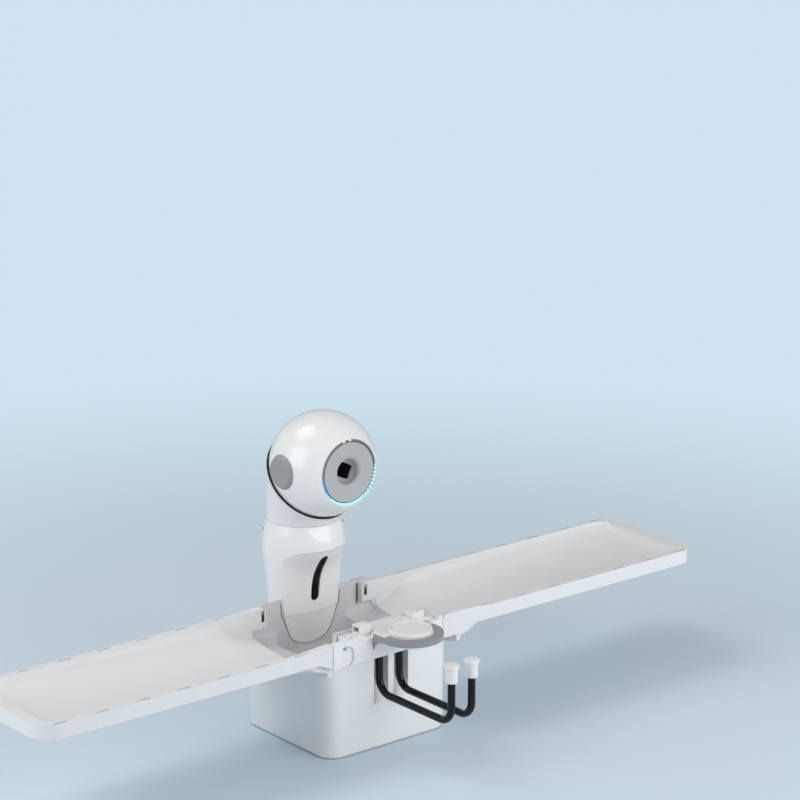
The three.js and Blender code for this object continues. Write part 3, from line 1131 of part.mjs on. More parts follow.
buildHousing();
buildCoverAndFeet();
buildRail();
buildNose();
buildBumper();
buildKnob();
buildHooks();
buildLatches();
buildWings();
buildTray();
buildFeeder();
buildFeedTube();
buildColumn();
buildNeck();
buildHead();
buildLauncher();
buildElectrics();

export default robot;
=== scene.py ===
"""Looks of the table tennis robot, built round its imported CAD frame.

Sizes are in millimetres, apart from the studio's floor and lamps, which are in metres. +Z is
up, +X runs along the right catch tray and -Y is the way the nozzle fires. Each sub-assembly
is one class.
"""

import json
import logging
import math
from dataclasses import dataclass, field
from enum import Enum
from typing import Any, Iterable, Sequence

import bmesh
import bpy
from mathutils import Matrix, Vector


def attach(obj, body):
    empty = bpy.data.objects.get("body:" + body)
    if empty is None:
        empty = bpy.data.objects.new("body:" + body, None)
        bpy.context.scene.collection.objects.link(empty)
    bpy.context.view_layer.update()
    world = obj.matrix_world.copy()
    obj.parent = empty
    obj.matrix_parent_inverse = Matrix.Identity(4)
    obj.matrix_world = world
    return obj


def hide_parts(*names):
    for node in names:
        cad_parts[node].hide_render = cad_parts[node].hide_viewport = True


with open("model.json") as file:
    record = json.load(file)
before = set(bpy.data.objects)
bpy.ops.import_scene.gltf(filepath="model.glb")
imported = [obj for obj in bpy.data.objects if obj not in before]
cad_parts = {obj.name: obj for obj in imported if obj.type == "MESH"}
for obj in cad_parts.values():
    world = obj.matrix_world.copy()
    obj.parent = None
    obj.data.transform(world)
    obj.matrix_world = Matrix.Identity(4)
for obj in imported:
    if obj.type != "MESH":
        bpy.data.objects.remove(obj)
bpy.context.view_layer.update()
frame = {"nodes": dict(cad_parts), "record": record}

MM = 0.001  # metres in a millimetre
WELD = 1e-6  # metres within which two vertices are one
FIT = 0.3  # clearance between fitted forms
OVERLAP = 1.0  # how far joined or cut forms run into each other
FINE = 180  # flats round the forms that show from close by
SHARP = 32.0  # turn in degrees above which an edge stays sharp
LATHE_SIDES = 128  # flats round other turned forms
ROD_SIDES = 64  # flats round bars that only cut or join
SCOOP_LINES = 48  # strips across the column's scooped front
NECK_SIDES = 144  # flats round the neck
NECK_STEPS = 36  # rings up the neck
DIP_STEPS = 28  # cells each way in the finger dip
TROUGH_STEPS = 40  # strips across a catch tray's trough
POLE = 88  # how far a hollow ball's arc goes from its equator, in degrees
LOG = logging.getLogger("robot")

BODY_OF = {node: body for body, nodes in frame["record"]["behaviour"]["bodies"].items() for node in nodes}

Point2 = tuple[float, float]
Ring = list[Vector]


# Colour and node helpers


def linear(hex_colour: str) -> tuple[float, float, float, float]:
    """Turns an sRGB hex colour into linear light.

    Args:
        hex_colour: six hex digits after a hash, such as "#eeeeee".

    Returns:
        Red, green, blue and a full alpha, each from 0 to 1.
    """
    values = [int(hex_colour[i : i + 2], 16) / 255 for i in (1, 3, 5)]
    red, green, blue = (v / 12.92 if v <= 0.04045 else ((v + 0.055) / 1.055) ** 2.4 for v in values)
    return (red, green, blue, 1.0)


def add_node(tree: bpy.types.NodeTree, kind: str, links: dict[Any, Any] | None = None,
             **settings: Any) -> bpy.types.Node:
    """Adds one node with its settings and links.

    Args:
        tree: the material's node tree.
        kind: Blender's name of the node type.
        links: input name or number to an output socket, or to a plain value.
        settings: attributes of the node itself.

    Returns:
        The new node.
    """
    node = tree.nodes.new(kind)
    for name, value in settings.items():
        setattr(node, name, value)
    for name, value in (links or {}).items():
        if isinstance(value, bpy.types.NodeSocket):
            tree.links.new(value, node.inputs[name])
        else:
            node.inputs[name].default_value = value
    return node


def blank_material(title: str) -> bpy.types.Material:
    """Makes a material with an empty node tree.

    Args:
        title: the material's name.

    Returns:
        The material.
    """
    material = bpy.data.materials.new(title)
    material.use_nodes = True
    material.node_tree.nodes.clear()
    return material


class Grain(Enum):
    """How a surface was made, which sets the pattern of its fine relief."""

    POLISHED = "polished tool"
    SPARK = "spark-eroded tool"
    TURNED = "turned on a lathe"
    CAST = "poured or pressed rubber"


@dataclass(frozen=True)
class Finish:
    """One real material with the relief its making leaves."""

    title: str
    hex_colour: str
    shade_hex: str
    roughness: float
    grain: Grain
    grain_mm: float
    grain_depth_mm: float
    slot: str
    metallic: float = 0.0
    ior: float = 1.5
    coat: float = 0.0
    coat_roughness: float = 0.08
    edge_mm: float = 0.5
    roughness_swing: float = 0.05
    mottle_mm: float = 60.0
    mottle_detail: float = 3.0
    grain_detail: float = 2.0
    ring_waver: float = 1.5
    relief_strength: float = 0.5
    edge_samples: int = 4

    def build(self) -> bpy.types.Material:
        """Makes the material, or finds it where it is already there.

        Returns:
            The material.
        """
        found = bpy.data.materials.get(self.title)
        if found:
            return found
        material = blank_material(self.title)
        tree = material.node_tree
        place = add_node(tree, "ShaderNodeTexCoord").outputs["Object"]
        shader = add_node(tree, "ShaderNodeBsdfPrincipled", self.shader_values())
        self.colour_links(tree, place, shader)
        self.relief_links(tree, place, shader)
        add_node(tree, "ShaderNodeOutputMaterial", {"Surface": shader.outputs[0]})
        return material

    def shader_values(self) -> dict[str, Any]:
        """Gives the values that are the same all over the surface.

        Returns:
            The surface shader's input names and their values.
        """
        values: dict[str, Any] = {"Metallic": self.metallic, "Coat Weight": self.coat,
                                  "Coat Roughness": self.coat_roughness}
        if not self.metallic:
            values["IOR"] = self.ior
        return values

    def colour_links(self, tree: bpy.types.NodeTree, place: bpy.types.NodeSocket, shader: bpy.types.Node) -> None:
        """Lets colour and roughness drift slowly over the piece, as pigment and handling do.

        Args:
            tree: the material's node tree.
            place: the object coordinate output.
            shader: the surface shader.
        """
        drift = add_node(tree, "ShaderNodeTexNoise", {"Vector": place, "Scale": 1 / (self.mottle_mm * MM),
                                                      "Detail": self.mottle_detail})
        tone = add_node(tree, "ShaderNodeMix", {0: drift.outputs["Fac"], 6: linear(self.hex_colour),
                                                7: linear(self.shade_hex)}, data_type="RGBA")
        tree.links.new(tone.outputs[2], shader.inputs["Base Color"])
        swing = self.roughness_swing
        handled = add_node(tree, "ShaderNodeMapRange", {
            "Value": drift.outputs["Fac"], "To Min": self.roughness - swing, "To Max": self.roughness + swing})
        tree.links.new(handled.outputs[0], shader.inputs["Roughness"])

    def relief_links(self, tree: bpy.types.NodeTree, place: bpy.types.NodeSocket, shader: bpy.types.Node) -> None:
        """Adds the fine relief of the making, over softly rounded edges.

        Args:
            tree: the material's node tree.
            place: the object coordinate output.
            shader: the surface shader.
        """
        scale = 1 / (self.grain_mm * MM)
        if self.grain is Grain.TURNED:
            pattern = add_node(tree, "ShaderNodeTexWave", {
                "Vector": place, "Scale": scale / math.tau, "Distortion": self.ring_waver,
                "Detail": self.grain_detail}, wave_type="RINGS")
            height = pattern.outputs["Fac"]
        elif self.grain is Grain.SPARK:
            pattern = add_node(tree, "ShaderNodeTexVoronoi", {"Vector": place, "Scale": scale})
            height = pattern.outputs["Distance"]
        else:
            pattern = add_node(tree, "ShaderNodeTexNoise", {
                "Vector": place, "Scale": scale, "Detail": self.grain_detail})
            height = pattern.outputs["Fac"]
        rounded = add_node(tree, "ShaderNodeBevel", {"Radius": self.edge_mm * MM}, samples=self.edge_samples)
        bump = add_node(tree, "ShaderNodeBump", {"Height": height, "Distance": self.grain_depth_mm * MM,
                                                 "Strength": self.relief_strength, "Normal": rounded.outputs[0]})
        tree.links.new(bump.outputs[0], shader.inputs["Normal"])


# A spark-eroded tool leaves a grain of about 0.05 mm, and turning leaves rings about 0.1 mm apart.
# Both are too fine to show from here, so they are drawn as coarse as they need, at 0.6 to 0.8 mm.

# Glossy ABS from a polished tool: a soft highlight, nearly no texture
GLOSS_ABS = Finish("Glossy white ABS, moulded", "#efefef", "#eaebec", 0.24, Grain.POLISHED, 3.0, 0.004,
                   "gloss_white", coat=0.25)
# Satin ABS from a spark-eroded tool: a fine even grain that spreads the light
SATIN_ABS = Finish("Satin white ABS, moulded", "#e9e9ea", "#e4e5e6", 0.42, Grain.SPARK, 0.8, 0.01, "satin_white")
# Pale grey ABS of the hopper and the lift tube's lower part: dull and even
PALE_ABS = Finish("Pale grey ABS, moulded", "#c3c4c6", "#bcbdc0", 0.45, Grain.SPARK, 0.8, 0.012, "pale_grey")
# Flat grey ABS of the dish round the nozzle: matt, so that the lit ring stands out
DISH_ABS = Finish("Flat grey ABS, moulded", "#b4b5b6", "#aeafb1", 0.5, Grain.SPARK, 0.8, 0.012, "pale_grey")
# Off-white ABS of the catch trays: satin, slightly greyer than the housing
TRAY_ABS = Finish("Off-white ABS, moulded", "#e7e8ea", "#e2e3e5", 0.38, Grain.SPARK, 0.8, 0.01, "satin_white")
# Light grey ABS of the ball tray: matt, with soft shadows in its pit
BASIN_ABS = Finish("Light grey ABS, moulded", "#d4d5d7", "#cecfd2", 0.45, Grain.SPARK, 0.8, 0.012, "pale_grey")
# Mid grey ABS of the side caps, plugs, feeder and wheel hubs: a satin grey that sets off the white
MID_ABS = Finish("Mid grey ABS, moulded", "#9b9c9e", "#949597", 0.42, Grain.SPARK, 0.8, 0.012, "mid_grey")
# Powder coat on bent steel rod: deep black with a long clear streak of light. The small rocker
# switch is of black nylon that looks the same, and shares it
POWDER_COAT = Finish("Gloss black powder coat on steel", "#050505", "#080808", 0.22, Grain.POLISHED, 1.6, 0.02,
                     "black_gloss", coat=0.1, ior=1.36)
# Matt black ABS of trims, seal and power inlet: reads as a plain dark line. The same black is also painted shade in
# seams, gaps, slot, keyhole and notch floors and on the cup's rim
BLACK_ABS_AND_SHADE = Finish("Matt black ABS, moulded, and painted shade", "#161617", "#1c1c1d", 0.6, Grain.SPARK, 0.7, 0.02, "black_matt")
# Dark glass-filled nylon of the launcher duct: dull, slightly fibrous. Its dark tone is partly painted shade for the
# deep throat behind the lip
NYLON_AND_THROAT_SHADE = Finish("Dark glass-filled nylon and painted throat shade", "#3a3b3d", "#424345", 0.62, Grain.CAST, 1.0, 0.03, "dark_grey")
# Pressed rubber of the feet: dead matt
FOOT_RUBBER = Finish("Pressed black rubber", "#1d1d1d", "#252525", 0.85, Grain.CAST, 0.9, 0.05, "foot_rubber",
                     ior=1.52)
# Soft grey elastomer of the bumper, jaw pad and tyres: matt, with a slightly powdery skin
GREY_TPE = Finish("Soft grey elastomer", "#97989a", "#8f9092", 0.72, Grain.CAST, 0.9, 0.04, "grey_rubber", ior=1.52)
# Soft pale grey elastomer of the lip in the throat: matt, and lighter than the duct behind it
LIP_TPE = Finish("Soft pale grey elastomer", "#a5a6a7", "#9d9e9f", 0.6, Grain.CAST, 0.9, 0.02, "grey_rubber", ior=1.52)
# Turned steel of pins, shafts and motor cans: grey metal with fine rings
TURNED_STEEL = Finish("Turned steel", "#c2c2c5", "#b4b4b8", 0.3, Grain.TURNED, 0.6, 0.01, "steel", metallic=1.0)
# Machined brass of the crossbar: warm metal with fine tool marks
BRASS = Finish("Machined brass", "#c9a24b", "#b8903c", 0.34, Grain.TURNED, 0.8, 0.01, "brass", metallic=1.0)
# Green solder resist over copper: smooth under a thin clear gloss
BOARD = Finish("Green solder resist on a circuit board", "#1d6a43", "#17573a", 0.4, Grain.CAST, 2.0, 0.05,
               "board_green", coat=0.3)


# Milky polycarbonate over small lamps: glows evenly below and shows single lamps at the sides
@dataclass(frozen=True)
class LitDiffuser:
    """A ring of milky polycarbonate over lamps, lit pale cyan along its lower half."""

    centre_mm: tuple[float, float, float]
    title: str = "Milky polycarbonate over cyan lamps"
    unlit_hex: str = "#5a5f63"
    cyan_hex: str = "#8ce4ec"
    blue_hex: str = "#3c8fd6"
    amber_hex: str = "#e9dc9a"
    strength: float = 0.8
    roughness: float = 0.35
    slot: str = "lit_ring"
    lamps_round: int = 52
    lamp_gap: float = 0.32
    solid_from: float = 0.13
    solid_to: float = 0.33

    def build(self) -> bpy.types.Material:
        """Makes the ring's material, whose pattern goes by the angle round its centre.

        Returns:
            The material.
        """
        material = blank_material(self.title)
        tree = material.node_tree
        place = add_node(tree, "ShaderNodeTexCoord").outputs["Object"]
        centre = Vector(self.centre_mm) * MM
        local = add_node(tree, "ShaderNodeVectorMath", {0: place, 1: centre}, operation="SUBTRACT")
        axes = add_node(tree, "ShaderNodeSeparateXYZ", {0: local.outputs[0]})
        angle = add_node(tree, "ShaderNodeMath", {0: axes.outputs["Z"], 1: axes.outputs["X"]}, operation="ARCTAN2")
        turn = add_node(tree, "ShaderNodeMapRange", {"Value": angle.outputs[0], "From Min": -math.pi,
                                                     "From Max": math.pi}).outputs[0]
        ramp = add_node(tree, "ShaderNodeValToRGB", {"Fac": turn})
        self.fill_ramp(ramp.color_ramp)
        lit = add_node(tree, "ShaderNodeMix", {0: self.gaps(tree, turn), 6: ramp.outputs[0],
                                               7: linear(self.unlit_hex)}, data_type="RGBA")
        colour = lit.outputs[2]
        shader = add_node(tree, "ShaderNodeBsdfPrincipled", {
            "Base Color": colour, "Roughness": self.roughness, "Emission Color": colour,
            "Emission Strength": self.strength})
        add_node(tree, "ShaderNodeOutputMaterial", {"Surface": shader.outputs[0]})
        return material

    def gaps(self, tree: bpy.types.NodeTree, turn: bpy.types.NodeSocket) -> bpy.types.NodeSocket:
        """Marks the dark gaps between single lamps at the ring's sides.

        Args:
            tree: the material's nodes.
            turn: the share of a turn round the ring.

        Returns:
            A socket that is 1 in a gap and 0 elsewhere.
        """
        scaled = add_node(tree, "ShaderNodeMath", {0: turn, 1: float(self.lamps_round)}, operation="MULTIPLY")
        part = add_node(tree, "ShaderNodeMath", {0: scaled.outputs[0]}, operation="FRACT")
        gap = add_node(tree, "ShaderNodeMath", {0: part.outputs[0], 1: self.lamp_gap}, operation="LESS_THAN")
        before = add_node(tree, "ShaderNodeMath", {0: turn, 1: self.solid_from}, operation="LESS_THAN")
        after = add_node(tree, "ShaderNodeMath", {0: turn, 1: self.solid_to}, operation="GREATER_THAN")
        both = add_node(tree, "ShaderNodeMath", {0: after.outputs[0], 1: before.outputs[0]}, operation="ADD")
        return add_node(tree, "ShaderNodeMath", {0: gap.outputs[0], 1: both.outputs[0]},
                        operation="MULTIPLY").outputs[0]

    def fill_ramp(self, ramp: bpy.types.ColorRamp) -> None:
        """Sets the colours from the left side down, round by the right and back to the left.

        Args:
            ramp: the colour ramp, read by the share of a turn.
        """
        # the share of a turn and the colour there
        stops = [(0.0, self.unlit_hex), (0.015, self.blue_hex), (0.07, self.blue_hex), (self.solid_from, self.cyan_hex),
                 (0.5, self.cyan_hex), (0.52, self.unlit_hex), (0.735, self.unlit_hex), (0.745, self.amber_hex),
                 (0.757, self.unlit_hex), (0.77, self.unlit_hex), (0.781, self.amber_hex), (0.794, self.unlit_hex)]
        ramp.elements[0].position, ramp.elements[0].color = stops[0][0], linear(stops[0][1])
        ramp.elements[1].position, ramp.elements[1].color = stops[-1][0], linear(stops[-1][1])
        for position, colour in stops[1:-1]:
            ramp.elements.new(position).color = linear(colour)


# Forms, built in millimetres


def curve_through(rows: Sequence[Sequence[float]], steps: int) -> list[tuple[float, ...]]:
    """Rounds a list of rows with a Catmull-Rom curve that passes through each.

    Args:
        rows: points of any one length.
        steps: how many stretches each span gets.

    Returns:
        The denser list, with the first and last rows kept.
    """
    padded = [rows[0], *rows, rows[-1]]
    dense: list[tuple[float, ...]] = []
    for a, b, c, d in zip(padded, padded[1:], padded[2:], padded[3:]):
        for step in range(steps):
            t = step / steps
            dense.append(tuple(
                0.5 * (2 * q + (r - p) * t + (2 * p - 5 * q + 4 * r - s) * t**2 + (3 * q - p - 3 * r + s) * t**3)
                for p, q, r, s in zip(a, b, c, d)))
    dense.append(tuple(rows[-1]))
    return dense


def arc(centre: Point2, radius: float, start: float, end: float, steps: int) -> list[Point2]:
    """Lists the points of an arc, with its angles in degrees."""
    angles = [math.radians(start + (end - start) * i / steps) for i in range(steps + 1)]
    return [(centre[0] + radius * math.cos(a), centre[1] + radius * math.sin(a)) for a in angles]


def solid(points: Sequence[Sequence[float]], faces: Sequence[Sequence[int]]) -> bpy.types.Object:
    """Makes a closed mesh object with outward faces.

    Args:
        points: places in millimetres.
        faces: rows of point numbers.

    Returns:
        The linked object, in metres.
    """
    mesh = bpy.data.meshes.new("form")
    mesh.from_pydata([Vector(p) * MM for p in points], [], faces)
    form = bmesh.new()
    form.from_mesh(mesh)
    bmesh.ops.remove_doubles(form, verts=form.verts, dist=WELD)
    bmesh.ops.dissolve_degenerate(form, edges=form.edges, dist=WELD)
    bmesh.ops.recalc_face_normals(form, faces=form.faces)
    form.to_mesh(mesh)
    form.free()
    obj = bpy.data.objects.new("form", mesh)
    bpy.context.scene.collection.objects.link(obj)
    return obj


def loft(rings: Sequence[Sequence[Sequence[float]]], endless: bool = False) -> bpy.types.Object:
    """Skins rings of equal count.

    Args:
        rings: the rings, in order.
        endless: joins the last ring to the first, where otherwise both ends are closed.

    Returns:
        The solid.
    """
    count = len(rings[0])
    points = [p for ring in rings for p in ring]
    faces: list[list[int]] = []
    for r in range(len(rings) if endless else len(rings) - 1):
        here, after = r * count, (r + 1) % len(rings) * count
        for i in range(count):
            j = (i + 1) % count
            faces.append([here + i, here + j, after + j, after + i])
    if not endless:
        faces.append(list(range(count))[::-1])
        faces.append([(len(rings) - 1) * count + i for i in range(count)])
    return solid(points, faces)


class Axis(Enum):
    """Which way a lathe form's axis points."""

    X = "x"
    Y = "y"
    Z = "z"

    def place(self, across: float, up: float, along: float) -> tuple[float, float, float]:
        """Puts a point at two sideways measures and one along the axis.

        Args:
            across: the first sideways measure.
            up: the second sideways measure.
            along: the measure along the axis.

        Returns:
            The point.
        """
        if self is Axis.X:
            return (along, across, up)
        if self is Axis.Y:
            return (across, along, up)
        return (across, up, along)


def lathe(profile: Sequence[Point2], axis: Axis = Axis.Z, centre: Sequence[float] = (0, 0, 0),
          segments: int = LATHE_SIDES) -> bpy.types.Object:
    """Turns a profile round an axis.

    Args:
        profile: radius and height along the axis, closed on itself or ending on the axis.
        axis: the axis's direction.
        centre: a point on the axis, where heights start.
        segments: how many flats go round.

    Returns:
        The solid object.
    """
    closed = profile[0][0] > 0
    rows = list(profile[:-1]) if closed and profile[0] == profile[-1] else list(profile)
    points: list[Vector] = []
    for radius, along in rows:
        for i in range(segments):
            angle = math.tau * i / segments
            place = axis.place(radius * math.cos(angle), radius * math.sin(angle), along)
            points.append(Vector(centre) + Vector(place))
    faces: list[list[int]] = []
    spans = len(rows) if closed else len(rows) - 1
    for r in range(spans):
        here, after = r * segments, ((r + 1) % len(rows)) * segments
        for i in range(segments):
            j = (i + 1) % segments
            faces.append([here + i, here + j, after + j, after + i])
    return solid(points, faces)


def rod(axis: Axis, radius: float, low: float, high: float, centre: Sequence[float] = (0, 0, 0),
        segments: int = ROD_SIDES) -> bpy.types.Object:
    """Makes a round bar between two heights along an axis."""
    return lathe([(0, low), (radius, low), (radius, high), (0, high)], axis, centre, segments)


def block(x0: float, x1: float, y0: float, y1: float, z0: float, z1: float) -> bpy.types.Object:
    """Makes a box between six planes."""
    points = [(x, y, z) for z in (z0, z1) for x, y in ((x0, y0), (x1, y0), (x1, y1), (x0, y1))]
    return solid(points, [[0, 1, 2, 3], [4, 5, 6, 7], [0, 1, 5, 4], [1, 2, 6, 5], [2, 3, 7, 6], [3, 0, 4, 7]])


def between(side: int, near: float, far: float) -> list[float]:
    """Gives two distances to one side, -1 or 1, as places across, the lower one first."""
    return sorted((side * near, side * far))


def extrude(outline: Sequence[Point2], axis: Axis, low: float, high: float) -> bpy.types.Object:
    """Draws an outline out along an axis."""
    return loft([[axis.place(a, b, along) for a, b in outline] for along in (low, high)])


def pipe(path: Sequence[Sequence[float]], radius: float, segments: int,
         across: Sequence[float] = (1, 0, 0)) -> bpy.types.Object:
    """Sweeps a circle along a path in one plane.

    Args:
        path: the points it passes through.
        radius: the circle's radius.
        segments: how many flats go round.
        across: the direction square to the path's plane.

    Returns:
        The solid.
    """
    across = Vector(across)
    rings = []
    for i, point in enumerate(path):
        along = (Vector(path[min(i + 1, len(path) - 1)]) - Vector(path[max(i - 1, 0)])).normalized()
        up = along.cross(across)
        rings.append([Vector(point) + radius * (across * math.cos(a) + up * math.sin(a))
                      for a in (math.tau * k / segments for k in range(segments))])
    return loft(rings)


def combine(base: bpy.types.Object, operation: str, others: Iterable[bpy.types.Object]) -> bpy.types.Object:
    """Joins solids to a base or cuts them from it, and clears them away.

    Args:
        base: the solid that is changed.
        operation: UNION, DIFFERENCE or INTERSECT.
        others: the solids that are used up.

    Returns:
        The base with its new mesh.
    """
    used = list(others)
    for other in used:
        step = base.modifiers.new("step", "BOOLEAN")
        step.object, step.operation, step.solver = other, operation, "MANIFOLD"
    bpy.context.view_layer.update()
    graph = bpy.context.evaluated_depsgraph_get()
    old = base.data
    fresh = bpy.data.meshes.new_from_object(base.evaluated_get(graph))
    base.modifiers.clear()
    base.data = fresh
    bpy.data.meshes.remove(old)
    for other in used:
        mesh = other.data
        bpy.data.objects.remove(other)
        bpy.data.meshes.remove(mesh)
    return base


def cut(base: bpy.types.Object, *others: bpy.types.Object) -> bpy.types.Object:
    """Cuts solids from a base."""
    return combine(base, "DIFFERENCE", others)


def join(base: bpy.types.Object, *others: bpy.types.Object) -> bpy.types.Object:
    """Joins solids to a base."""
    return combine(base, "UNION", others)


def keep(base: bpy.types.Object, other: bpy.types.Object) -> bpy.types.Object:
    """Keeps what a base shares with another solid."""
    return combine(base, "INTERSECT", [other])


def mirror(obj: bpy.types.Object) -> bpy.types.Object:
    """Mirrors a mesh in the plane X = 0 and keeps its faces outward.

    Args:
        obj: the form, which is changed.

    Returns:
        The same form.
    """
    obj.data.transform(Matrix.Diagonal((-1, 1, 1, 1)))
    obj.data.flip_normals()
    return obj


def copy_of(node: str) -> bpy.types.Object:
    """Makes a loose copy of a CAD node's mesh.

    Args:
        node: the CAD node's name.

    Returns:
        The copy, with its split vertices joined.
    """
    obj = bpy.data.objects.new(f"{node}_form", frame["nodes"][node].data.copy())
    bpy.context.scene.collection.objects.link(obj)
    join_split_vertices(obj)
    return obj


def join_split_vertices(obj: bpy.types.Object) -> None:
    """Welds vertices that lie on each other and drops stored normals.

    Args:
        obj: the form, which is changed.
    """
    mesh = obj.data
    form = bmesh.new()
    form.from_mesh(mesh)
    bmesh.ops.remove_doubles(form, verts=form.verts, dist=WELD)
    form.to_mesh(mesh)
    form.free()
    if "custom_normal" in mesh.attributes:
        mesh.attributes.remove(mesh.attributes["custom_normal"])


def smooth(obj: bpy.types.Object, sharp_degrees: float = SHARP) -> bpy.types.Object:
    """Shades smooth, with edges kept where the form turns sharply.

    Args:
        obj: the form, which is changed.
        sharp_degrees: the turn above which an edge stays sharp.

    Returns:
        The same form.
    """
    join_split_vertices(obj)
    obj.data.shade_smooth()
    obj.data.set_sharp_from_angle(angle=math.radians(sharp_degrees))
    return obj


def wear(obj: bpy.types.Object, finish: "Finish | LitDiffuser") -> bpy.types.Object:
    """Gives an object one finish.

    Args:
        obj: the form, which is changed.
        finish: the material it is made of.

    Returns:
        The same form.
    """
    obj.data.materials.clear()
    obj.data.materials.append(finish.build())
    return obj


def stand_in(obj: bpy.types.Object, node: str, finish: "Finish | LitDiffuser",
             sharp: float = SHARP) -> bpy.types.Object:
    """Names a finished form for the CAD node it stands for, and fixes it to that node's body.

    Args:
        obj: the form.
        node: the CAD node's name.
        finish: the material it is made of.
        sharp: the turn in degrees above which an edge stays sharp.

    Returns:
        The dressed piece.
    """
    obj.name = f"{node}_skin"
    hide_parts(node)
    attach(obj, BODY_OF[node])
    wear(smooth(obj, sharp), finish)
    LOG.info("%s: %s", node, finish.title)
    return obj


def add_on(obj: bpy.types.Object, name: str, body: str, finish: "Finish | LitDiffuser") -> bpy.types.Object:
    """Names a small extra piece and fixes it to a body.

    Args:
        obj: the form.
        name: the piece's name.
        body: the body that carries it.
        finish: the material it is made of.

    Returns:
        The dressed piece.
    """
    obj.name = name
    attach(obj, body)
    wear(smooth(obj), finish)
    LOG.info("%s: %s", name, finish.title)
    return obj


def dress_nodes(finish: "Finish", *names: str) -> None:
    """Shows CAD nodes as they are, with smooth shading and a finish."""
    for name in names:
        stand_in(copy_of(name), name, finish)


# Sub-assemblies


@dataclass
class Column:
    """The bulbous column with its scooped bib, ball window and finger dip, and what meets it."""

    y: float = 125.0
    bottom: float = 130.0
    top: float = 378.0
    wall: float = 3.0
    radius: float = 77.78
    top_share: float = 0.905
    lip: float = 9.0
    window_width: float = 19.0
    window_length: float = 96.0
    window_z: float = 268.0
    window_depth: float = 60.0
    seam_y: float = 106.7
    seam_top: float = 226.0
    seam_radius: float = 0.55
    joint_inner: float = 66.0
    joint_low: float = 0.05
    joint_high: float = 0.35
    joint_proud: float = 0.15
    room: float = 0.35
    baffle_y: float = 107.0
    baffle_half: float = 60.0
    baffle_thickness: float = 2.0
    baffle_low: float = 104.0
    dip_x: float = 3.0
    dip_half: float = 40.0
    dip_bottom: float = 349.0
    dip_depth: float = 2.6
    reach: float = 160.0
    near_axis: float = 0.001
    outline_steps: int = 5
    scoop_steps: int = 4
    seam_steps: int = 8
    seam_sides: int = 8
    window_steps: int = 24
    outline_shares: list[Point2] = field(default_factory=lambda: [
        # radius and height, as shares of the column's
        (0.0, 0.0), (0.28, 0.004), (0.42, 0.018), (0.55, 0.048), (0.7, 0.11), (0.81, 0.23), (0.872, 0.327),
        (0.923, 0.488), (0.974, 0.649), (1.0, 0.77), (0.981, 0.887), (0.905, 1.0)])
    scoop_shares: list[tuple[float, float, float]] = field(default_factory=lambda: [
        # set back from the axis, fall towards the sides and height, as shares
        (1.02, 0.52, 0.812), (0.97, 0.52, 0.8), (0.92, 0.52, 0.775), (0.84, 0.52, 0.735), (0.73, 0.48, 0.685),
        (0.62, 0.4, 0.63), (0.53, 0.32, 0.57), (0.47, 0.26, 0.5), (0.44, 0.24, 0.42), (0.425, 0.24, 0.34),
        (0.418, 0.236, 0.29), (0.413, 0.234, 0.274), (0.396, 0.228, 0.262), (0.345, 0.2, 0.19),
        (0.3, 0.16, 0.11), (0.262, 0.12, 0.05), (0.236, 0.1, 0.012), (0.2, 0.1, -0.05)])

    @property
    def height(self) -> float:
        """The column's full height."""
        return self.top - self.bottom

    def body(self, grow: float, extra: float = 0.0) -> bpy.types.Object:
        """Turns the column's outline.

        Args:
            grow: how far outside the outline the surface lies.
            extra: how far it runs on above the top.

        Returns:
            The solid.
        """
        rows = curve_through(self.outline_shares, self.outline_steps)
        profile = [(0.0 if r < self.near_axis else self.radius * r + grow,
                    self.bottom - grow + (self.height + grow) * h) for r, h in rows]
        profile += [(self.radius * self.top_share + grow, self.top + extra)] if extra else []
        profile.append((0.0, self.top + extra))
        return lathe(profile, Axis.Z, (0, self.y, 0))

    def scoop(self, shift: float) -> bpy.types.Object:
        """Makes the block that hollows the column's front.

        Args:
            shift: how far back it is moved.

        Returns:
            The solid.
        """
        side = self.radius + self.lip
        rows = curve_through(self.scoop_shares, self.scoop_steps)
        rings = []
        for i in range(SCOOP_LINES + 1):
            x = side * (2 * i / SCOOP_LINES - 1)
            fall = (x / self.radius) ** 2
            ring = [(x, self.y - self.radius * (back - drop * fall) + shift, self.bottom + self.height * h)
                    for back, drop, h in rows]
            front = self.y - self.reach
            rings.append([(x, front, ring[-1][2]), (x, front, ring[0][2]), *ring])
        return loft(rings)

    def radius_at(self, z: float) -> float:
        """Reads the column's outside radius at one height.

        Args:
            z: the height.

        Returns:
            The radius.
        """
        rows = [(self.radius * r, self.bottom + self.height * h)
                for r, h in curve_through(self.outline_shares, self.outline_steps)]
        for (low_r, low_z), (high_r, high_z) in zip(rows, rows[1:]):
            if low_z <= z <= high_z:
                return low_r + (high_r - low_r) * (z - low_z) / (high_z - low_z)
        return rows[-1][0]

    def dip(self) -> bpy.types.Object:
        """Makes the cutter of the shallow finger dip below the neck's joint.

        Returns:
            The solid.
        """
        rings = []
        for i in range(DIP_STEPS + 1):
            across = 2 * i / DIP_STEPS - 1
            inside, outside = [], []
            for k in range(DIP_STEPS + 1):
                up = k / DIP_STEPS
                z = self.dip_bottom + (self.top - self.dip_bottom) * up
                depth = self.dip_depth * math.sqrt(max(0.0, 1 - across**2 - (1 - up) ** 2))
                for reach, side in ((-depth, inside), (self.wall, outside)):
                    radius = self.radius_at(z) + reach
                    x = self.dip_x + self.dip_half * across
                    side.append((x, self.y - math.sqrt(radius**2 - x**2), z))
            inside.append((*inside[-1][:2], self.top + self.wall))
            outside.append((*outside[-1][:2], self.top + self.wall))
            rings.append(inside + outside[::-1])
        return loft(rings)

    def window(self) -> bpy.types.Object:
        """Makes the cutter of the long window onto the lift tube.

        Returns:
            The solid.
        """
        radius = self.window_width / 2
        run = self.window_length / 2 - radius
        outline = [*arc((0, self.window_z + run), radius, 0, 180, self.window_steps),
                   *arc((0, self.window_z - run), radius, 180, 360, self.window_steps)]
        return extrude(outline, Axis.Y, self.y - self.reach, self.y - self.window_depth / 2)

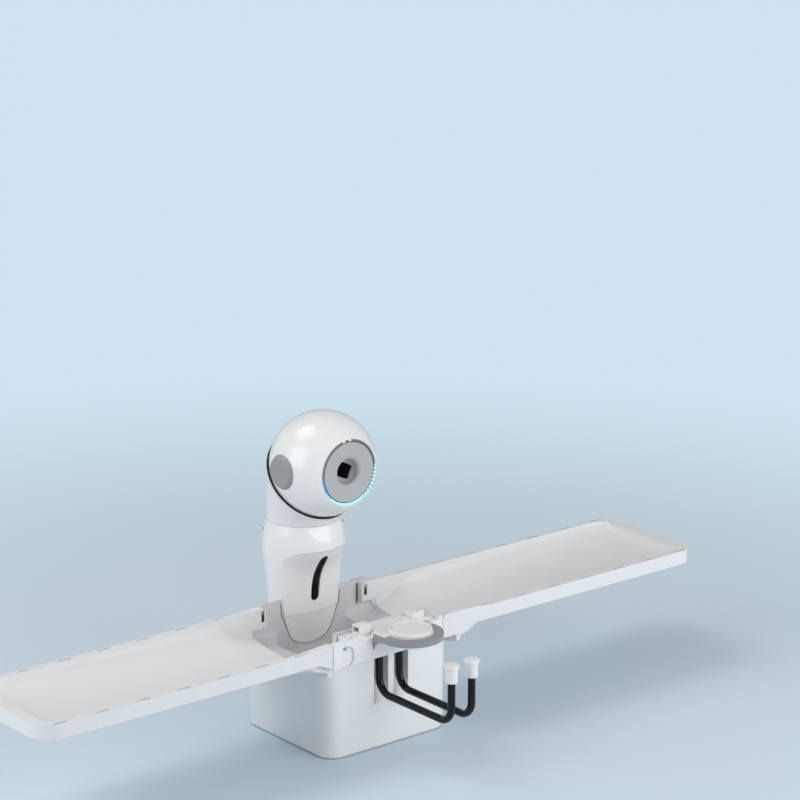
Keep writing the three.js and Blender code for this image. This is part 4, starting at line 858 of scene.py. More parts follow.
    def seam(self) -> None:
        """Lays a black line as painted shade in the gap where the tray's rear wall meets the bib."""
        back_share = (self.y - self.seam_y) / self.radius
        right = []
        for back, fall, h in curve_through(self.scoop_shares, self.seam_steps):
            z = self.bottom + self.height * h
            if back > back_share and z < self.seam_top:
                right.append((self.radius * math.sqrt((back - back_share) / fall), self.seam_y, z))
        path = right + [(-x, y, z) for x, y, z in reversed(right)]
        line = pipe(path, self.seam_radius, self.seam_sides, (0, 1, 0))
        # painted shade: this black line darkens the gap between the tray's rear wall and the bib
        add_on(line, "column_seam_painted_shade", BODY_OF["centre_tray"], BLACK_ABS_AND_SHADE)

    def tray(self) -> None:
        """Fits the ball tray round the finer column, with a baffle below the column's foot."""
        room = cut(self.body(self.room, self.room), self.scoop(-self.room))
        baffle = block(-self.baffle_half, self.baffle_half, self.baffle_y, self.baffle_y + self.baffle_thickness,
                       self.baffle_low, self.bottom + OVERLAP)
        stand_in(cut(join(copy_of("centre_tray"), baffle), room), "centre_tray", BASIN_ABS)

    def tube(self) -> None:
        """Splits the lift tube's look: matt black behind the window, pale below it."""
        split = self.window_z - self.window_length / 2 - self.window_width
        side = 2 * self.radius
        low = (-side, side, -side, 3 * side, 0, split)
        high = (-side, side, -side, 3 * side, split, 2 * self.top)
        for name, box, finish in (("lower", low, PALE_ABS), ("upper", high, BLACK_ABS_AND_SHADE)):
            piece = stand_in(keep(copy_of("feed_tube"), block(*box)), "feed_tube", finish)
            piece.name = f"feed_tube_{name}"

    def build(self) -> None:
        """Makes the shell, a dark ring of painted shade in the neck's joint, painted shade along the seam, the tube and
        the tray.
        """
        inner = cut(self.body(-self.wall, self.lip), self.scoop(self.wall))
        shell = cut(cut(self.body(0), self.scoop(0)), inner, self.window(), self.dip())
        stand_in(shell, "column_shell", GLOSS_ABS)
        # painted shade: a thin black ring in the gap between the column's top and the neck's foot
        low, high = self.top + self.joint_low, self.top + self.joint_high
        outer = self.radius * self.top_share + self.joint_proud
        joint = lathe([(self.joint_inner, low), (outer, low), (outer, high), (self.joint_inner, high),
                       (self.joint_inner, low)], Axis.Z, (0, self.y, 0))
        add_on(joint, "neck_joint_painted_shade", BODY_OF["column_shell"], BLACK_ABS_AND_SHADE)
        self.seam()
        self.tube()
        self.tray()


@dataclass
class Head:
    """The ball-shaped head with its lit ring, grey dish and side caps."""

    centre: tuple[float, float, float] = (0.0, 64.0, 496.0)
    radius: float = 100.0
    wall: float = 3.0
    front: float = 77.5
    mouth: float = 62.3
    flange_back: float = 71.0
    side_flat: float = 94.1
    rear_open: float = 66.0
    face_turn: float = 1.0  # degrees between the front's rounded edge and the ball
    sharp: float = 28.0  # degrees
    neck_tilt: float = 48.0  # degrees
    edge: float = 1.2
    ring_outer: float = 62.0
    ring_inner: float = 58.6
    ring_front: float = 79.0
    ring_back: float = 74.0
    trim_outer: float = 58.3
    trim_inner: float = 57.3
    trim_front: float = 77.0
    dish_radius: float = 57.0
    dish_front: float = 78.0
    dish_hollow: float = 1.2
    lip_radius: float = 30.0
    lip_depth: float = 9.0
    throat: float = 22.5
    sleeve_wall: float = 3.0
    sleeve_end: float = 66.0
    flange_radius: float = 62.0
    flange_front: float = 73.7
    cap_face: float = 102.0
    cap_base: float = 94.4
    cap_face_radius: float = 27.5
    cap_base_radius: float = 33.0
    cap_foot: float = 2.0
    cap_sink: float = 0.35
    boss_radius: float = 12.0
    boss_inner: float = 83.0
    pin_bore: float = 4.3
    bore_run: float = 5.0
    cap_rim: float = 3.0  # in widths of the rounded edge, as the next
    cap_sunk: float = 3.4
    edge_steps: int = 5
    outside_steps: int = 60
    inside_steps: int = 40
    dome_steps: int = 16
    roll_steps: int = 14
    cap_steps: int = 6

    def lean(self, obj: bpy.types.Object) -> bpy.types.Object:
        """Leans a form over onto the neck's axis through the head's centre.

        Args:
            obj: the form, made upright round the origin, which is moved.

        Returns:
            The same form.
        """
        turn = Matrix.Rotation(math.radians(self.neck_tilt), 4, "X")
        obj.data.transform(Matrix.Translation(Vector(self.centre) * MM) @ turn)
        return obj

    def shell(self) -> bpy.types.Object:
        """Makes the ball with its flat front, mouth, side flats and rear opening.

        Returns:
            The solid.
        """
        inner = self.radius - self.wall
        rim = math.sqrt(self.radius**2 - self.front**2)
        soft = arc((rim - self.edge, -self.front + self.edge), self.edge, -90, -40, self.edge_steps)
        start = math.degrees(math.asin(-self.front / self.radius)) + self.face_turn
        outside = arc((0, 0), self.radius, start, 90, self.outside_steps)
        ball = lathe([(0, -self.front), *soft, *outside[:-1], (0, self.radius)], Axis.Y, self.centre)
        hollow = lathe([(0, -inner), *arc((0, 0), inner, -POLE, POLE, self.inside_steps), (0, inner)], Axis.Y,
                       self.centre)
        x, y, z = self.centre
        tools = [hollow, rod(Axis.Y, self.mouth, -2 * self.radius, -self.flange_back + FIT, self.centre),
                 self.lean(rod(Axis.Z, self.rear_open, -2 * self.radius, -self.radius / 2))]
        for side in (-1, 1):
            tools.append(block(*between(side, self.side_flat, 2 * self.radius), y - self.radius, y + self.radius,
                               z - self.radius, z + self.radius))
            tools.append(rod(Axis.X, self.boss_radius + OVERLAP, *between(side, 0, 2 * self.radius), (0, y, z)))
        return cut(ball, *tools)

    def lit_ring(self) -> bpy.types.Object:
        """Turns the lit ring with a softly domed front.

        Returns:
            The solid.
        """
        middle = (self.ring_outer + self.ring_inner) / 2
        half = (self.ring_outer - self.ring_inner) / 2
        dome = arc((middle, -self.ring_front + half), half, 0, -180, self.dome_steps)
        return lathe([(self.ring_outer, -self.ring_back), *dome, (self.ring_inner, -self.ring_back),
                      (self.ring_outer, -self.ring_back)], Axis.Y, self.centre, FINE)

    def dish(self) -> bpy.types.Object:
        """Turns the grey dish: a shallow cone, a rolled lip and the ball's throat.

        Returns:
            The solid.
        """
        face = -self.dish_front
        hollow = face + self.dish_hollow
        roll = arc((self.throat + self.lip_depth, hollow + self.lip_depth), self.lip_depth, -90, -180,
                   self.roll_steps)
        profile = [
            (self.dish_radius, face + self.edge / 2), (self.dish_radius - self.edge / 2, face),
            ((self.dish_radius + self.lip_radius) / 2, face + self.dish_hollow / 2), *roll,
            (self.throat, -self.sleeve_end), (self.throat + self.sleeve_wall, -self.sleeve_end),
            (self.throat + self.sleeve_wall, -self.flange_back), (self.flange_radius, -self.flange_back),
            (self.flange_radius, -self.flange_front), (self.dish_radius, -self.flange_front),
            (self.dish_radius, face + self.edge / 2)]
        return lathe(profile, Axis.Y, self.centre, FINE)

    def side_cap(self) -> bpy.types.Object:
        """Turns the right side cap: a low cone with a plain sunk face.

        Returns:
            The solid.
        """
        soft = self.edge
        cone = lathe([
            (0, self.cap_base), (self.cap_base_radius, self.cap_base),
            (self.cap_base_radius - soft, self.cap_base + self.cap_foot),
            (self.cap_face_radius + soft, self.cap_face - soft),
            *arc((self.cap_face_radius - soft / 3, self.cap_face - soft), soft, 30, 90, self.cap_steps),
            (self.cap_face_radius - self.cap_rim * soft, self.cap_face),
            (self.cap_face_radius - self.cap_sunk * soft, self.cap_face - self.cap_sink),
            (0, self.cap_face - self.cap_sink)], Axis.X, (0, *self.centre[1:]))
        boss = rod(Axis.X, self.boss_radius, self.boss_inner, self.cap_base + OVERLAP, (0, *self.centre[1:]))
        bore = rod(Axis.X, self.pin_bore, self.boss_inner - self.bore_run, self.cap_base, (0, *self.centre[1:]))
        return cut(join(cone, boss), bore)

    def build(self) -> None:
        """Makes and dresses the head's pieces."""
        stand_in(self.shell(), "head_shell", GLOSS_ABS, self.sharp)
        stand_in(self.lit_ring(), "led_ring", LitDiffuser(centre_mm=self.centre))
        trim = lathe([(self.trim_outer, -self.ring_back), (self.trim_outer, -self.trim_front),
                      (self.trim_inner, -self.trim_front), (self.trim_inner, -self.ring_back),
                      (self.trim_outer, -self.ring_back)], Axis.Y, self.centre, FINE)
        stand_in(trim, "ring_trim", BLACK_ABS_AND_SHADE)
        stand_in(self.dish(), "nozzle_dish", DISH_ABS)
        stand_in(self.side_cap(), "side_cap_right", MID_ABS)
        stand_in(mirror(self.side_cap()), "side_cap_left", MID_ABS)


@dataclass
class Neck:
    """The bent sleeve that turns on the column and cups the head."""

    column: Column
    head: Head
    cup_inner: float = 102.2
    cup_outer: float = 106.0
    rim_distance: float = 48.0
    wall: float = 3.0
    floor: float = 3.0
    foot_gap: float = 0.4
    foot_pull: float = 0.35
    rim_pull: float = 0.55
    tube_room: float = 23.8
    tube_run: float = 5.0
    rim_shade_low: float = 0.02
    rim_shade_high: float = 0.4
    rim_shade_inside: float = 0.15
    rim_shade_inset: float = 1.5
    rim_shade_bevel: float = 0.3
    ball_steps: int = 60

    def skin(self, foot_radius: float, ball_radius: float, rim_distance: float, foot_z: float) -> bpy.types.Object:
        """Blends the column's round top into the cup's rim.

        Args:
            foot_radius: the radius at the foot.
            ball_radius: the radius of the ball that the rim lies on.
            rim_distance: how far the rim's plane is from the head's centre.
            foot_z: the foot's height.

        Returns:
            The solid.
        """
        tilt = math.radians(self.head.neck_tilt)
        axis = Vector((0, -math.sin(tilt), math.cos(tilt)))
        centre = Vector(self.head.centre)
        rim_centre = centre - axis * rim_distance
        rim_radius = math.sqrt(ball_radius**2 - rim_distance**2)
        rim_up = Vector((0, math.cos(tilt), math.sin(tilt)))
        rings: list[Ring] = [[] for _ in range(NECK_STEPS + 1)]
        for i in range(NECK_SIDES):
            angle = math.tau * i / NECK_SIDES
            foot = Vector((foot_radius * math.cos(angle), self.column.y + foot_radius * math.sin(angle), foot_z))
            rim = rim_centre + Vector((1, 0, 0)) * rim_radius * math.cos(angle) + rim_up * rim_radius * math.sin(angle)
            length = (rim - foot).length
            rise, reach = self.foot_pull * length, self.rim_pull * length
            outward = (rim - centre).normalized()
            leave = (axis - outward * axis.dot(outward)).normalized()
            for k, ring in enumerate(rings):
                t = k / NECK_STEPS
                ring.append(foot * (2 * t**3 - 3 * t**2 + 1) + Vector((0, 0, 1)) * rise * (t**3 - 2 * t**2 + t)
                            + rim * (3 * t**2 - 2 * t**3) + leave * reach * (t**3 - t**2))
        return loft(rings)

    def build(self) -> None:
        """Makes the neck's sleeve and a black ring on its rim, painted shade for the gap between the cup and the head.
        """
        radius = self.column.radius * self.column.top_share
        foot = self.column.top + self.foot_gap
        outside = self.skin(radius, self.cup_outer, self.rim_distance, foot)
        inside = self.skin(radius - self.wall, self.cup_inner + FIT, self.rim_distance + 2 * self.wall,
                           foot + self.floor)
        ball = lathe([(0, -self.cup_inner), *arc((0, 0), self.cup_inner, -POLE, POLE, self.ball_steps),
                      (0, self.cup_inner)], Axis.Y, self.head.centre)
        hole = rod(Axis.Z, self.tube_room, foot - self.tube_run, foot + 2 * self.tube_run, (0, self.column.y, 0))
        stand_in(cut(outside, inside, ball, hole), "neck_shell", GLOSS_ABS)
        # painted shade: the black ring on the cup's rim darkens the gap round the head, where shadow falls
        low, high = self.rim_shade_low - self.rim_distance, self.rim_shade_high - self.rim_distance
        inner = math.sqrt((self.cup_inner + self.rim_shade_inside)**2 - low**2)
        outer = math.sqrt((self.cup_outer - self.rim_shade_inset)**2 - low**2)
        trim = lathe([(inner, low), (outer, low), (outer - self.rim_shade_bevel, high), (inner, high), (inner, low)],
                     segments=FINE)
        add_on(self.head.lean(trim), "cup_rim_painted_shade", BODY_OF["neck_shell"], BLACK_ABS_AND_SHADE)


@dataclass
class Clamp:
    """The hooks under the nose, their caps, the knob that moves them and the bumper's lip."""

    spacing: float = 47.0
    rod_radius: float = 7.0
    shank_y: float = -130.0
    tip_y: float = -334.0
    bend: float = 30.0
    level: float = 108.0
    shank_top: float = 219.0
    tip_top: float = 212.0
    bend_steps: int = 16
    rod_sides: int = 48
    cap_bottom: float = 186.0
    cap_top: float = 219.6
    sleeve_radius: float = 11.35
    flange_radius: float = 14.0
    flange_height: float = 6.4
    cap_edge: float = 1.2
    cap_sides: int = 96
    cap_steps: int = 6
    foot_steps: int = 5
    knob_y: float = -191.0
    knob_radius: float = 40.0
    knob_bottom: float = 236.6
    knob_height: float = 7.4
    knob_rim: float = 5.0
    knob_dish: float = 2.0
    knob_crown: float = 1.6
    knob_foot: float = 1.0
    crown_steps: int = 8
    rim_steps: int = 6
    face_thickness: float = 1.6
    face_bevel: float = 0.4
    bore: float = 6.3
    lid_top: float = 236.0
    band_inner: float = 43.5
    band_outer: float = 56.8
    band_low: float = 0.05
    band_high: float = 0.6
    band_bevel: float = 0.2
    band_reach: float = 4.0

    def path(self, x: float) -> list[tuple[float, float, float]]:
        """Follows one rod from its shank down, forward and up to its tip.

        Args:
            x: the rod's place across.

        Returns:
            The path's points.
        """
        line = [(x, self.shank_y, self.shank_top)]
        for y, start in ((self.shank_y - self.bend, 0.0), (self.tip_y + self.bend, -90.0)):
            for a, b in arc((y, self.level + self.bend), self.bend, start, start - 90, self.bend_steps):
                line.append((x, a, b))
        return [*line, (x, self.tip_y, self.tip_top)]

    def cap(self, x: float) -> bpy.types.Object:
        """Turns the white cap of one rod's tip.

        Args:
            x: the rod's place across.

        Returns:
            The solid.
        """
        bore = self.rod_radius + FIT
        shoulder = self.cap_top - self.flange_height
        edge = self.cap_edge
        return lathe([
            (bore, self.cap_bottom), (self.sleeve_radius - edge, self.cap_bottom),
            *arc((self.sleeve_radius - edge, self.cap_bottom + edge), edge, -90, 0, self.foot_steps),
            (self.sleeve_radius, shoulder),
            *arc((self.flange_radius - edge, shoulder + edge), edge, -90, 0, self.cap_steps),
            *arc((self.flange_radius - edge, self.cap_top - edge), edge, 0, 90, self.cap_steps),
            (0, self.cap_top), (0, self.tip_top + FIT), (bore, self.tip_top + FIT), (bore, self.cap_bottom),
        ], Axis.Z, (x, self.tip_y, 0), self.cap_sides)

    def knob(self) -> None:
        """Turns the knob's white cap and the pale face sunk in it."""
        bottom, top = self.knob_bottom, self.knob_bottom + self.knob_height
        inner = self.knob_radius - self.knob_rim
        floor = top - self.knob_dish - self.face_thickness
        crown, foot = self.knob_crown, self.knob_foot
        cap = lathe([
            (self.bore, bottom), (self.knob_radius - foot, bottom), (self.knob_radius, bottom + foot),
            *arc((self.knob_radius - crown, top - crown), crown, 0, 90, self.crown_steps),
            *arc((inner + crown / 2, top - crown / 2), crown / 2, 90, 180, self.rim_steps),
            (inner, floor), (self.bore, floor),
            (self.bore, bottom)], Axis.Z, (0, self.knob_y, 0), FINE)
        stand_in(cap, "knob_cap", GLOSS_ABS)
        radius, low, high = inner - FIT, floor + FIT, floor + FIT + self.face_thickness
        face = lathe([(0, low), (radius, low), (radius, high - self.face_bevel), (radius - self.face_bevel, high),
                      (0, high)], Axis.Z, (0, self.knob_y, 0), FINE)
        stand_in(face, "knob_face", TRAY_ABS)

    def lid_band(self) -> None:
        """Lays the bumper's thin upper lip over the nose lid's rounded edge."""
        low, high, bevel = self.lid_top + self.band_low, self.lid_top + self.band_high, self.band_bevel
        ring = lathe([(self.band_inner, low), (self.band_outer, low), (self.band_outer, high - bevel),
                      (self.band_outer - bevel, high), (self.band_inner, high), (self.band_inner, low)],
                     Axis.Z, (0, self.knob_y, 0), FINE)
        side = 2 * self.band_outer
        front = block(-side, side, self.knob_y - side, self.knob_y + self.band_reach, 0, 2 * self.lid_top)
        add_on(keep(ring, front), "bumper_lip", BODY_OF["bumper_band"], GREY_TPE)

    def build(self) -> None:
        """Makes the rods, caps, knob and the band round it."""
        self.lid_band()
        for name, side in (("left", -1), ("right", 1)):
            x = side * self.spacing / 2
            stand_in(pipe(self.path(x), self.rod_radius, self.rod_sides), f"hook_rod_{name}", POWDER_COAT)
            stand_in(self.cap(x), f"hook_cap_{name}", SATIN_ABS)
        self.knob()


@dataclass
class Wing:
    """The two catch trays: the CAD's rims and ears round a finer trough, with painted shade in their slots and gaps."""

    trough_inner: float = 150.0
    tip: float = 762.5
    front: float = -144.0
    rear: float = 92.0
    rim_top: float = 230.0
    tip_rim: float = 20.0
    floor_inner: float = 167.0
    floor_outer: float = 206.0
    power: float = 2.3
    skin: float = 3.0
    hinge_x: float = 122.0
    lip_inner: float = 146.8
    lip_outer: float = 156.0
    lip_drop: float = 9.0
    lip_top: float = 205.0
    slot_count: int = 7
    slot_first: float = 205.0
    slot_pitch: float = 84.0
    slot_length: float = 28.0
    slot_width: float = 3.0
    slot_floor: float = 228.4
    slot_floor_thickness: float = 0.6
    slot_room: float = 0.2
    front_slot_y: float = -151.0
    rear_slot_y: float = 97.5
    gap_x: float = 110.9
    gap_width: float = 1.6
    gap_y: float = 106.9
    gap_low: float = 180.0
    gap_high: float = 226.0
    key_half: float = 3.2
    key_y: float = 93.45
    key_low: float = 203.8
    key_high: float = 225.2
    hinge_z: float = 222.0
    pin_room: float = 4.4
    rail_gap_low: tuple[float, float, float] = (-153.6, -154.0, 190.0)
    rail_gap_high: tuple[float, float, float] = (-151.4, -147.6, 227.2)
    ear_reach: float = 38.0
    ear_bottom: float = 205.0
    ear_front: float = -147.0
    ear_back: float = -138.0
    lengthwise_steps: int = 5
    shares: list[tuple[float, float, float]] = field(default_factory=lambda: [
        # how far along, how deep and how wide, as shares
        (0.0, 1.0, 1.46), (0.06, 1.0, 1.2), (0.125, 1.0, 1.0), (0.3, 1.0, 1.0), (0.6, 1.0, 1.0), (0.9, 1.0, 1.0),
        (0.95, 0.96, 0.985), (0.98, 0.82, 0.95), (1.0, 0.35, 0.87)])

    def section(self, x: float, depth: float, width: float, grow: float) -> list[tuple[float, float, float]]:
        """Draws the trough's cross-section at one place along it.

        Args:
            x: the place.
            depth: how deep it is there.
            width: its width as a share.
            grow: how far outside the trough's surface it lies.

        Returns:
            The outline's points.
        """
        middle = (self.front + self.rear) / 2
        half = (self.rear - self.front) / 2 * width + grow
        points = []
        for i in range(TROUGH_STEPS + 1):
            u = -math.cos(math.pi * i / TROUGH_STEPS)
            drop = (1 - abs(u) ** self.power) ** (1 / self.power)
            points.append((x, middle + half * u, self.rim_top - (depth + grow) * drop))
        top = self.rim_top + self.skin
        return [(x, middle - half, top), *points, (x, middle + half, top)]

    def trough(self, grow: float, start: float | None = None) -> bpy.types.Object:
        """Lofts the trough.

        Args:
            grow: how far outside its surface the solid lies.
            start: where it begins, if not at its usual inner end.

        Returns:
            The solid.
        """
        end = self.tip - self.tip_rim + grow
        deep, shallow = self.rim_top - self.floor_inner, self.rim_top - self.floor_outer
        rings = []
        for along, depth_share, width in curve_through(self.shares, self.lengthwise_steps):
            depth = (deep + (shallow - deep) * along) * depth_share
            rings.append(self.section(self.trough_inner + (end - self.trough_inner) * along, depth, width, grow))
        if start is not None:
            rings.insert(0, [(start, y, z) for _, y, z in rings[0]])
        walls = block(0, 2 * self.tip, self.front - grow, self.rear + grow, 0, 2 * self.rim_top)
        return keep(loft(rings), walls)

    def tray(self, name: str, side: int) -> bpy.types.Object:
        """Joins the finer trough and its inner lip to the CAD's tray, and opens it from above.

        Args:
            name: left or right.
            side: -1 for left, 1 for right.

        Returns:
            The solid.
        """
        outside = keep(self.trough(self.skin - FIT), block(self.trough_inner, self.tip, 2 * self.front,
                                                           2 * self.rear, 0, self.rim_top - self.skin))
        ear = block(0, self.hinge_x + self.ear_reach, self.ear_front - FIT, self.ear_back + FIT,
                    self.ear_bottom - FIT, 2 * self.rim_top)
        opening = cut(self.trough(0, self.lip_inner), ear)
        lip = keep(self.trough(self.lip_drop, self.lip_inner),
                   block(self.lip_inner, self.lip_outer, self.front - self.skin, self.rear + self.skin, 0,
                         self.lip_top))
        rear_lip = block(self.lip_inner, self.lip_outer, self.rear, self.rear + self.skin - FIT,
                         self.lip_top - OVERLAP, self.rim_top - OVERLAP)
        outside = join(outside, lip, rear_lip)
        if side < 0:
            outside, opening = mirror(outside), mirror(opening)
        return cut(join(copy_of(f"{name}_wing"), outside), opening)

    def build(self) -> None:
        """Makes both trays with painted shade in their slots and gaps, and painted shade in the gap at the front rail's
        end.
        """
        for name, side in (("left", -1), ("right", 1)):
            stand_in(self.tray(name, side), f"{name}_wing", TRAY_ABS)
            self.slot_painted_shade(name, side)
            self.seams(name, side)
        # painted shade: a black block in the gap at the front rail's end
        (x0, y0, z0), (x1, y1, z1) = self.rail_gap_low, self.rail_gap_high
        add_on(block(x0, x1, y0, y1, z0, z1), "rail_end_gap_painted_shade", BODY_OF["front_rail"], BLACK_ABS_AND_SHADE)

    def slot_painted_shade(self, name: str, side: int) -> None:
        """Lays black strips as painted shade on the floors of the rims' drain slots.

        Args:
            name: left or right.
            side: -1 for left, 1 for right.
        """
        strips = []
        for i in range(self.slot_count):
            x = self.slot_first + i * self.slot_pitch
            for y in (self.front_slot_y, self.rear_slot_y):
                half = self.slot_width / 2 - self.slot_room
                strips.append(block(*between(side, x + FIT, x + self.slot_length - FIT), y - half, y + half,
                                    self.slot_floor, self.slot_floor + self.slot_floor_thickness))
        # painted shade: black strips darken the slots' floors
        add_on(join(strips[0], *strips[1:]), f"{name}_slot_painted_shade", BODY_OF[f"{name}_wing"], BLACK_ABS_AND_SHADE)

    def seams(self, name: str, side: int) -> None:
        """Lays black pieces as painted shade in the gap beside the rear ear and on the floor of its keyhole.

        Args:
            name: left or right.
            side: -1 for left, 1 for right.
        """
        # painted shade: a black sheet in the gap beside the rear ear
        rear = block(*between(side, self.gap_x, self.gap_x + self.gap_width),
                     self.gap_y - self.gap_width / 2, self.gap_y, self.gap_low, self.gap_high)
        add_on(rear, f"{name}_ear_gap_painted_shade", BODY_OF["centre_tray"], BLACK_ABS_AND_SHADE)
        # painted shade: a black floor darkens the keyhole's recess
        key = cut(block(*between(side, self.hinge_x - self.key_half, self.hinge_x + self.key_half),
                        self.key_y - FIT, self.key_y, self.key_low, self.key_high),
                  rod(Axis.Y, self.pin_room, 0, 2 * self.key_y, (side * self.hinge_x, 0, self.hinge_z)))
        add_on(key, f"{name}_keyhole_painted_shade", BODY_OF[f"{name}_wing"], BLACK_ABS_AND_SHADE)


@dataclass
class MuzzleLip:
    """The soft grey lip in the throat: round in front, a turned square hole behind."""

    head: Head
    roll: float = 25.0
    front: float = 69.0
    round_radius: float = 22.1
    duct_front: float = 65.8
    duct_radius: float = 20.2
    back: float = 60.0
    half_width: float = 15.0
    half_height: float = 13.5
    thickness: float = 1.0
    steps: int = 10
    points: int = 96

    def ring(self, distance: float, radius: float, square: float, grow: float) -> Ring:
        """Draws one ring of the lip.

        Args:
            distance: how far in front of the head's centre it lies.
            radius: its radius where it is round.
            square: how far it has turned into the square, from 0 to 1.
            grow: how far outside it lies.

        Returns:
            The ring's points.
        """
        turn = math.radians(self.roll)
        ring = []
        for i in range(self.points):
            angle = math.tau * i / self.points
            across, up = math.cos(angle), math.sin(angle)
            corner = 1 / max(abs(across) / (self.half_width + grow), abs(up) / (self.half_height + grow))
            reach = (radius + grow) * (1 - square) + corner * square
            x, z = across * reach, up * reach
            ring.append(Vector(self.head.centre) + Vector((
                x * math.cos(turn) + z * math.sin(turn), -distance, z * math.cos(turn) - x * math.sin(turn))))
        return ring

    def build(self) -> None:
        """Lofts the lip and fixes it to the launcher."""
        stations = [(self.front, self.round_radius, 0.0), (self.duct_front, self.duct_radius, 0.0)]
        for k in range(1, self.steps + 1):
            share = k / self.steps
            stations.append((self.duct_front + (self.back - self.duct_front) * share,
                             self.duct_radius + (self.half_width - self.duct_radius) * share, share))
        inner = [self.ring(d, r - self.thickness, s, 0) for d, r, s in stations]
        outer = [self.ring(d, r, s, self.thickness * s) for d, r, s in reversed(stations)]
        add_on(loft(inner + outer, True), "muzzle_lip", BODY_OF["launcher_frame"], LIP_TPE)


@dataclass
class Latches:
    """Black strips as painted shade on the floors of the latches' finger notches."""

    far: float = 75.5
    notch_depth: float = 9.0
    y_range: tuple[float, float] = (-134.3, -119.7)
    z_range: tuple[float, float] = (235.1, 243.8)
    low: float = 0.02
    high: float = 0.4

    def build(self) -> None:
        """Lays one strip of painted shade in each latch's notch."""
        for name, side in (("left", -1), ("right", 1)):
            # painted shade: a black strip darkens each notch's floor
            deep = self.far - self.notch_depth
            floor = block(*between(side, deep + self.low, deep + self.high), *self.y_range, *self.z_range)
            add_on(floor, f"latch_{name}_notch_painted_shade", BODY_OF[f"latch_{name}"], BLACK_ABS_AND_SHADE)


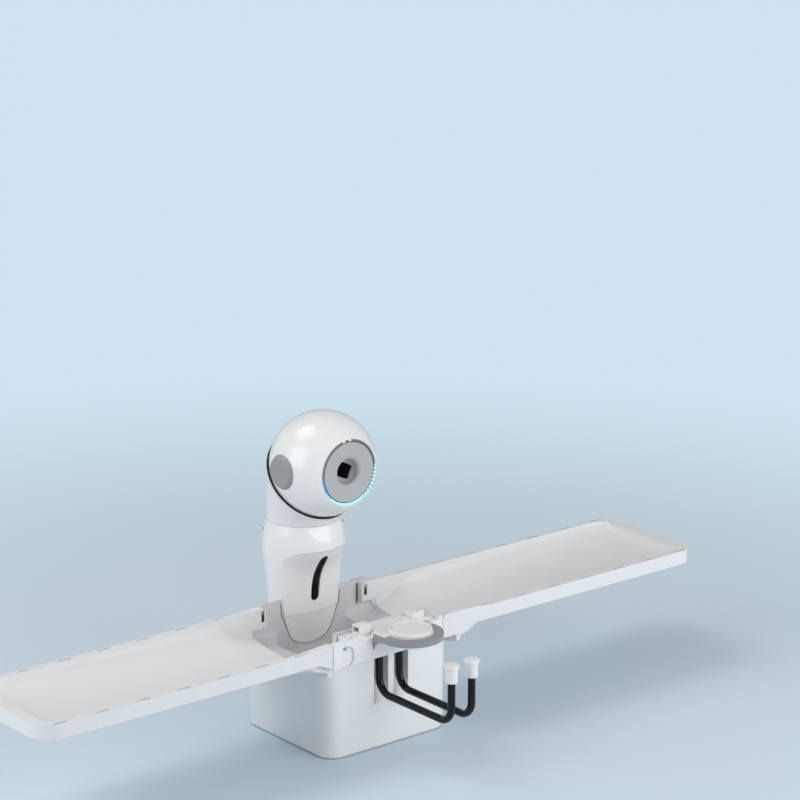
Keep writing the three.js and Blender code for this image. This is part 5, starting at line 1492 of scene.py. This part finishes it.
@dataclass
class Studio:
    """Pale floor, soft lamps and the photograph's camera."""

    camera_mm: tuple[float, float, float] = (-3090.5, -3937.0, 1989.9)
    azimuth: float = -39.3
    elevation: float = 15.2
    lens_mm: float = 128.0
    camera_reach: float = 60.0
    aim_height: float = 0.3
    floor_size: float = 30.0
    floor_hex: str = "#d2e2ed"
    floor_roughness: float = 0.9
    fade_from: float = 0.6
    fade_to: float = 2.6
    sky_hex: str = "#cde3f1"
    fill_hex: str = "#ffffff"
    fill_strength: float = 0.36
    lamps: list[tuple[str, float, float, float, float, float]] = field(default_factory=lambda: [
        # name, azimuth and elevation in degrees, distance and size in metres, watts
        ("key", -98.0, 24.0, 3.2, 2.2, 40.0),
        ("front", 22.0, 16.0, 3.4, 3.0, 76.0),
        ("top", -140.0, 62.0, 3.2, 1.6, 24.0),
    ])

    def build(self) -> None:
        """Sets up floor, lamps, world and camera."""
        self.add_floor()
        self.add_world()
        for lamp in self.lamps:
            self.add_lamp(*lamp)
        self.add_camera()

    def direction(self, azimuth: float, elevation: float) -> Vector:
        """Gives the unit vector from the object towards a viewer at these angles, in degrees."""
        a, e = math.radians(azimuth), math.radians(elevation)
        return Vector((math.sin(a) * math.cos(e), -math.cos(a) * math.cos(e), math.sin(e)))

    def add_floor(self) -> None:
        """Lays the pale floor under the feet, which fades into the backdrop's colour with distance."""
        bpy.ops.mesh.primitive_plane_add(size=self.floor_size)
        floor = bpy.context.object
        floor.name = "studio_floor"
        # Smooth matt paint: an even, pale ground without a highlight
        material = blank_material("Matt floor paint")
        tree = material.node_tree
        place = add_node(tree, "ShaderNodeTexCoord").outputs["Object"]
        reach = add_node(tree, "ShaderNodeVectorMath", {0: place}, operation="LENGTH")
        far = add_node(tree, "ShaderNodeMapRange", {"Value": reach.outputs["Value"], "From Min": self.fade_from,
                                                    "From Max": self.fade_to}, interpolation_type="SMOOTHSTEP")
        path = add_node(tree, "ShaderNodeLightPath")
        share = add_node(tree, "ShaderNodeMath", {0: far.outputs[0], 1: path.outputs["Is Camera Ray"]},
                         operation="MULTIPLY")
        near = add_node(tree, "ShaderNodeBsdfPrincipled", {"Base Color": linear(self.floor_hex),
                                                             "Roughness": self.floor_roughness})
        backdrop = add_node(tree, "ShaderNodeEmission", {"Color": linear(self.sky_hex), "Strength": 1.0})
        mixed = add_node(tree, "ShaderNodeMixShader", {0: share.outputs[0], 1: near.outputs[0], 2: backdrop.outputs[0]})
        add_node(tree, "ShaderNodeOutputMaterial", {"Surface": mixed.outputs[0]})
        floor.data.materials.append(material)

    def add_world(self) -> None:
        """Lights the room evenly and shows the same pale colour behind the object."""
        world = bpy.data.worlds.new("studio")
        bpy.context.scene.world = world
        world.use_nodes = True
        tree = world.node_tree
        tree.nodes.clear()
        path = add_node(tree, "ShaderNodeLightPath")
        soft = add_node(tree, "ShaderNodeBackground", {"Color": linear(self.fill_hex), "Strength": self.fill_strength})
        seen = add_node(tree, "ShaderNodeBackground", {"Color": linear(self.sky_hex), "Strength": 1.0})
        mixed = add_node(tree, "ShaderNodeMixShader", {0: path.outputs["Is Camera Ray"], 1: soft.outputs[0],
                                                       2: seen.outputs[0]})
        add_node(tree, "ShaderNodeOutputWorld", {0: mixed.outputs[0]})

    def add_lamp(self, name: str, azimuth: float, elevation: float, distance: float, size: float,
                 power: float) -> None:
        """Hangs one soft box that faces the object.

        Args:
            name: the lamp's name.
            azimuth: its bearing round the object, in degrees.
            elevation: its height angle, in degrees.
            distance: metres from the object's middle.
            size: the box's side, in metres.
            power: its power, in watts.
        """
        data = bpy.data.lights.new(name, "AREA")
        data.size, data.energy = size, power
        lamp = bpy.data.objects.new(name, data)
        middle = Vector((0, 0, self.aim_height))
        back = self.direction(azimuth, elevation)
        lamp.location = middle + back * distance
        lamp.rotation_euler = back.to_track_quat("Z", "Y").to_euler()
        bpy.context.scene.collection.objects.link(lamp)

    def add_camera(self) -> None:
        """Puts the camera where the photograph was taken from."""
        data = bpy.data.cameras.new("photo camera")
        data.lens, data.clip_end = self.lens_mm, self.camera_reach
        camera = bpy.data.objects.new("photo camera", data)
        back = self.direction(self.azimuth, self.elevation)
        camera.location = Vector(self.camera_mm) * MM
        camera.rotation_euler = back.to_track_quat("Z", "Y").to_euler()
        bpy.context.scene.collection.objects.link(camera)
        bpy.context.scene.camera = camera


NODE_FINISHES: list[tuple[Finish, list[str]]] = [
    (GLOSS_ABS, ["base_housing", "front_rail", "nose_lid"]),
    (SATIN_ABS, ["bottom_cover", "knob_gear", "screw_gear", "latch_left", "latch_right", "neck_tube"]),
    (PALE_ABS, ["hopper_bowl"]),
    (MID_ABS, ["feeder_disc", "rear_plug", "front_plug", "upper_wheel_hub", "lower_wheel_hub"]),
    (POWDER_COAT, ["power_switch"]),
    (BLACK_ABS_AND_SHADE, ["neck_seal", "dc_inlet", "switch_bezel"]),
    (NYLON_AND_THROAT_SHADE, ["launcher_frame"]),
    (FOOT_RUBBER, ["foot_front_left", "foot_front_right", "foot_rear_left", "foot_rear_right"]),
    (GREY_TPE, ["jaw_pad", "bumper_band", "upper_wheel_tyre", "lower_wheel_tyre"]),
    (TURNED_STEEL, ["clamp_screw", "left_front_hinge_pin", "left_rear_hinge_pin", "right_front_hinge_pin",
                    "right_rear_hinge_pin", "feeder_motor", "pan_bearing", "pan_motor", "left_tilt_arm",
                    "right_tilt_arm", "upper_wheel_motor", "lower_wheel_motor"]),
    (BRASS, ["hook_crossbar"]),
    (BOARD, ["control_board"]),
]


def main() -> None:
    """Builds every sub-assembly in order, then the studio."""
    logging.basicConfig(level=logging.INFO, format="%(name)s %(message)s")
    bpy.context.scene.view_settings.view_transform = "Standard"
    for finish, names in NODE_FINISHES:
        dress_nodes(finish, *names)
    column, head = Column(), Head()
    for part in (column, head, Neck(column, head), Clamp(), Wing(), Latches(), MuzzleLip(head)):
        part.build()
    Studio().build()


if __name__ == "__main__":
    main()
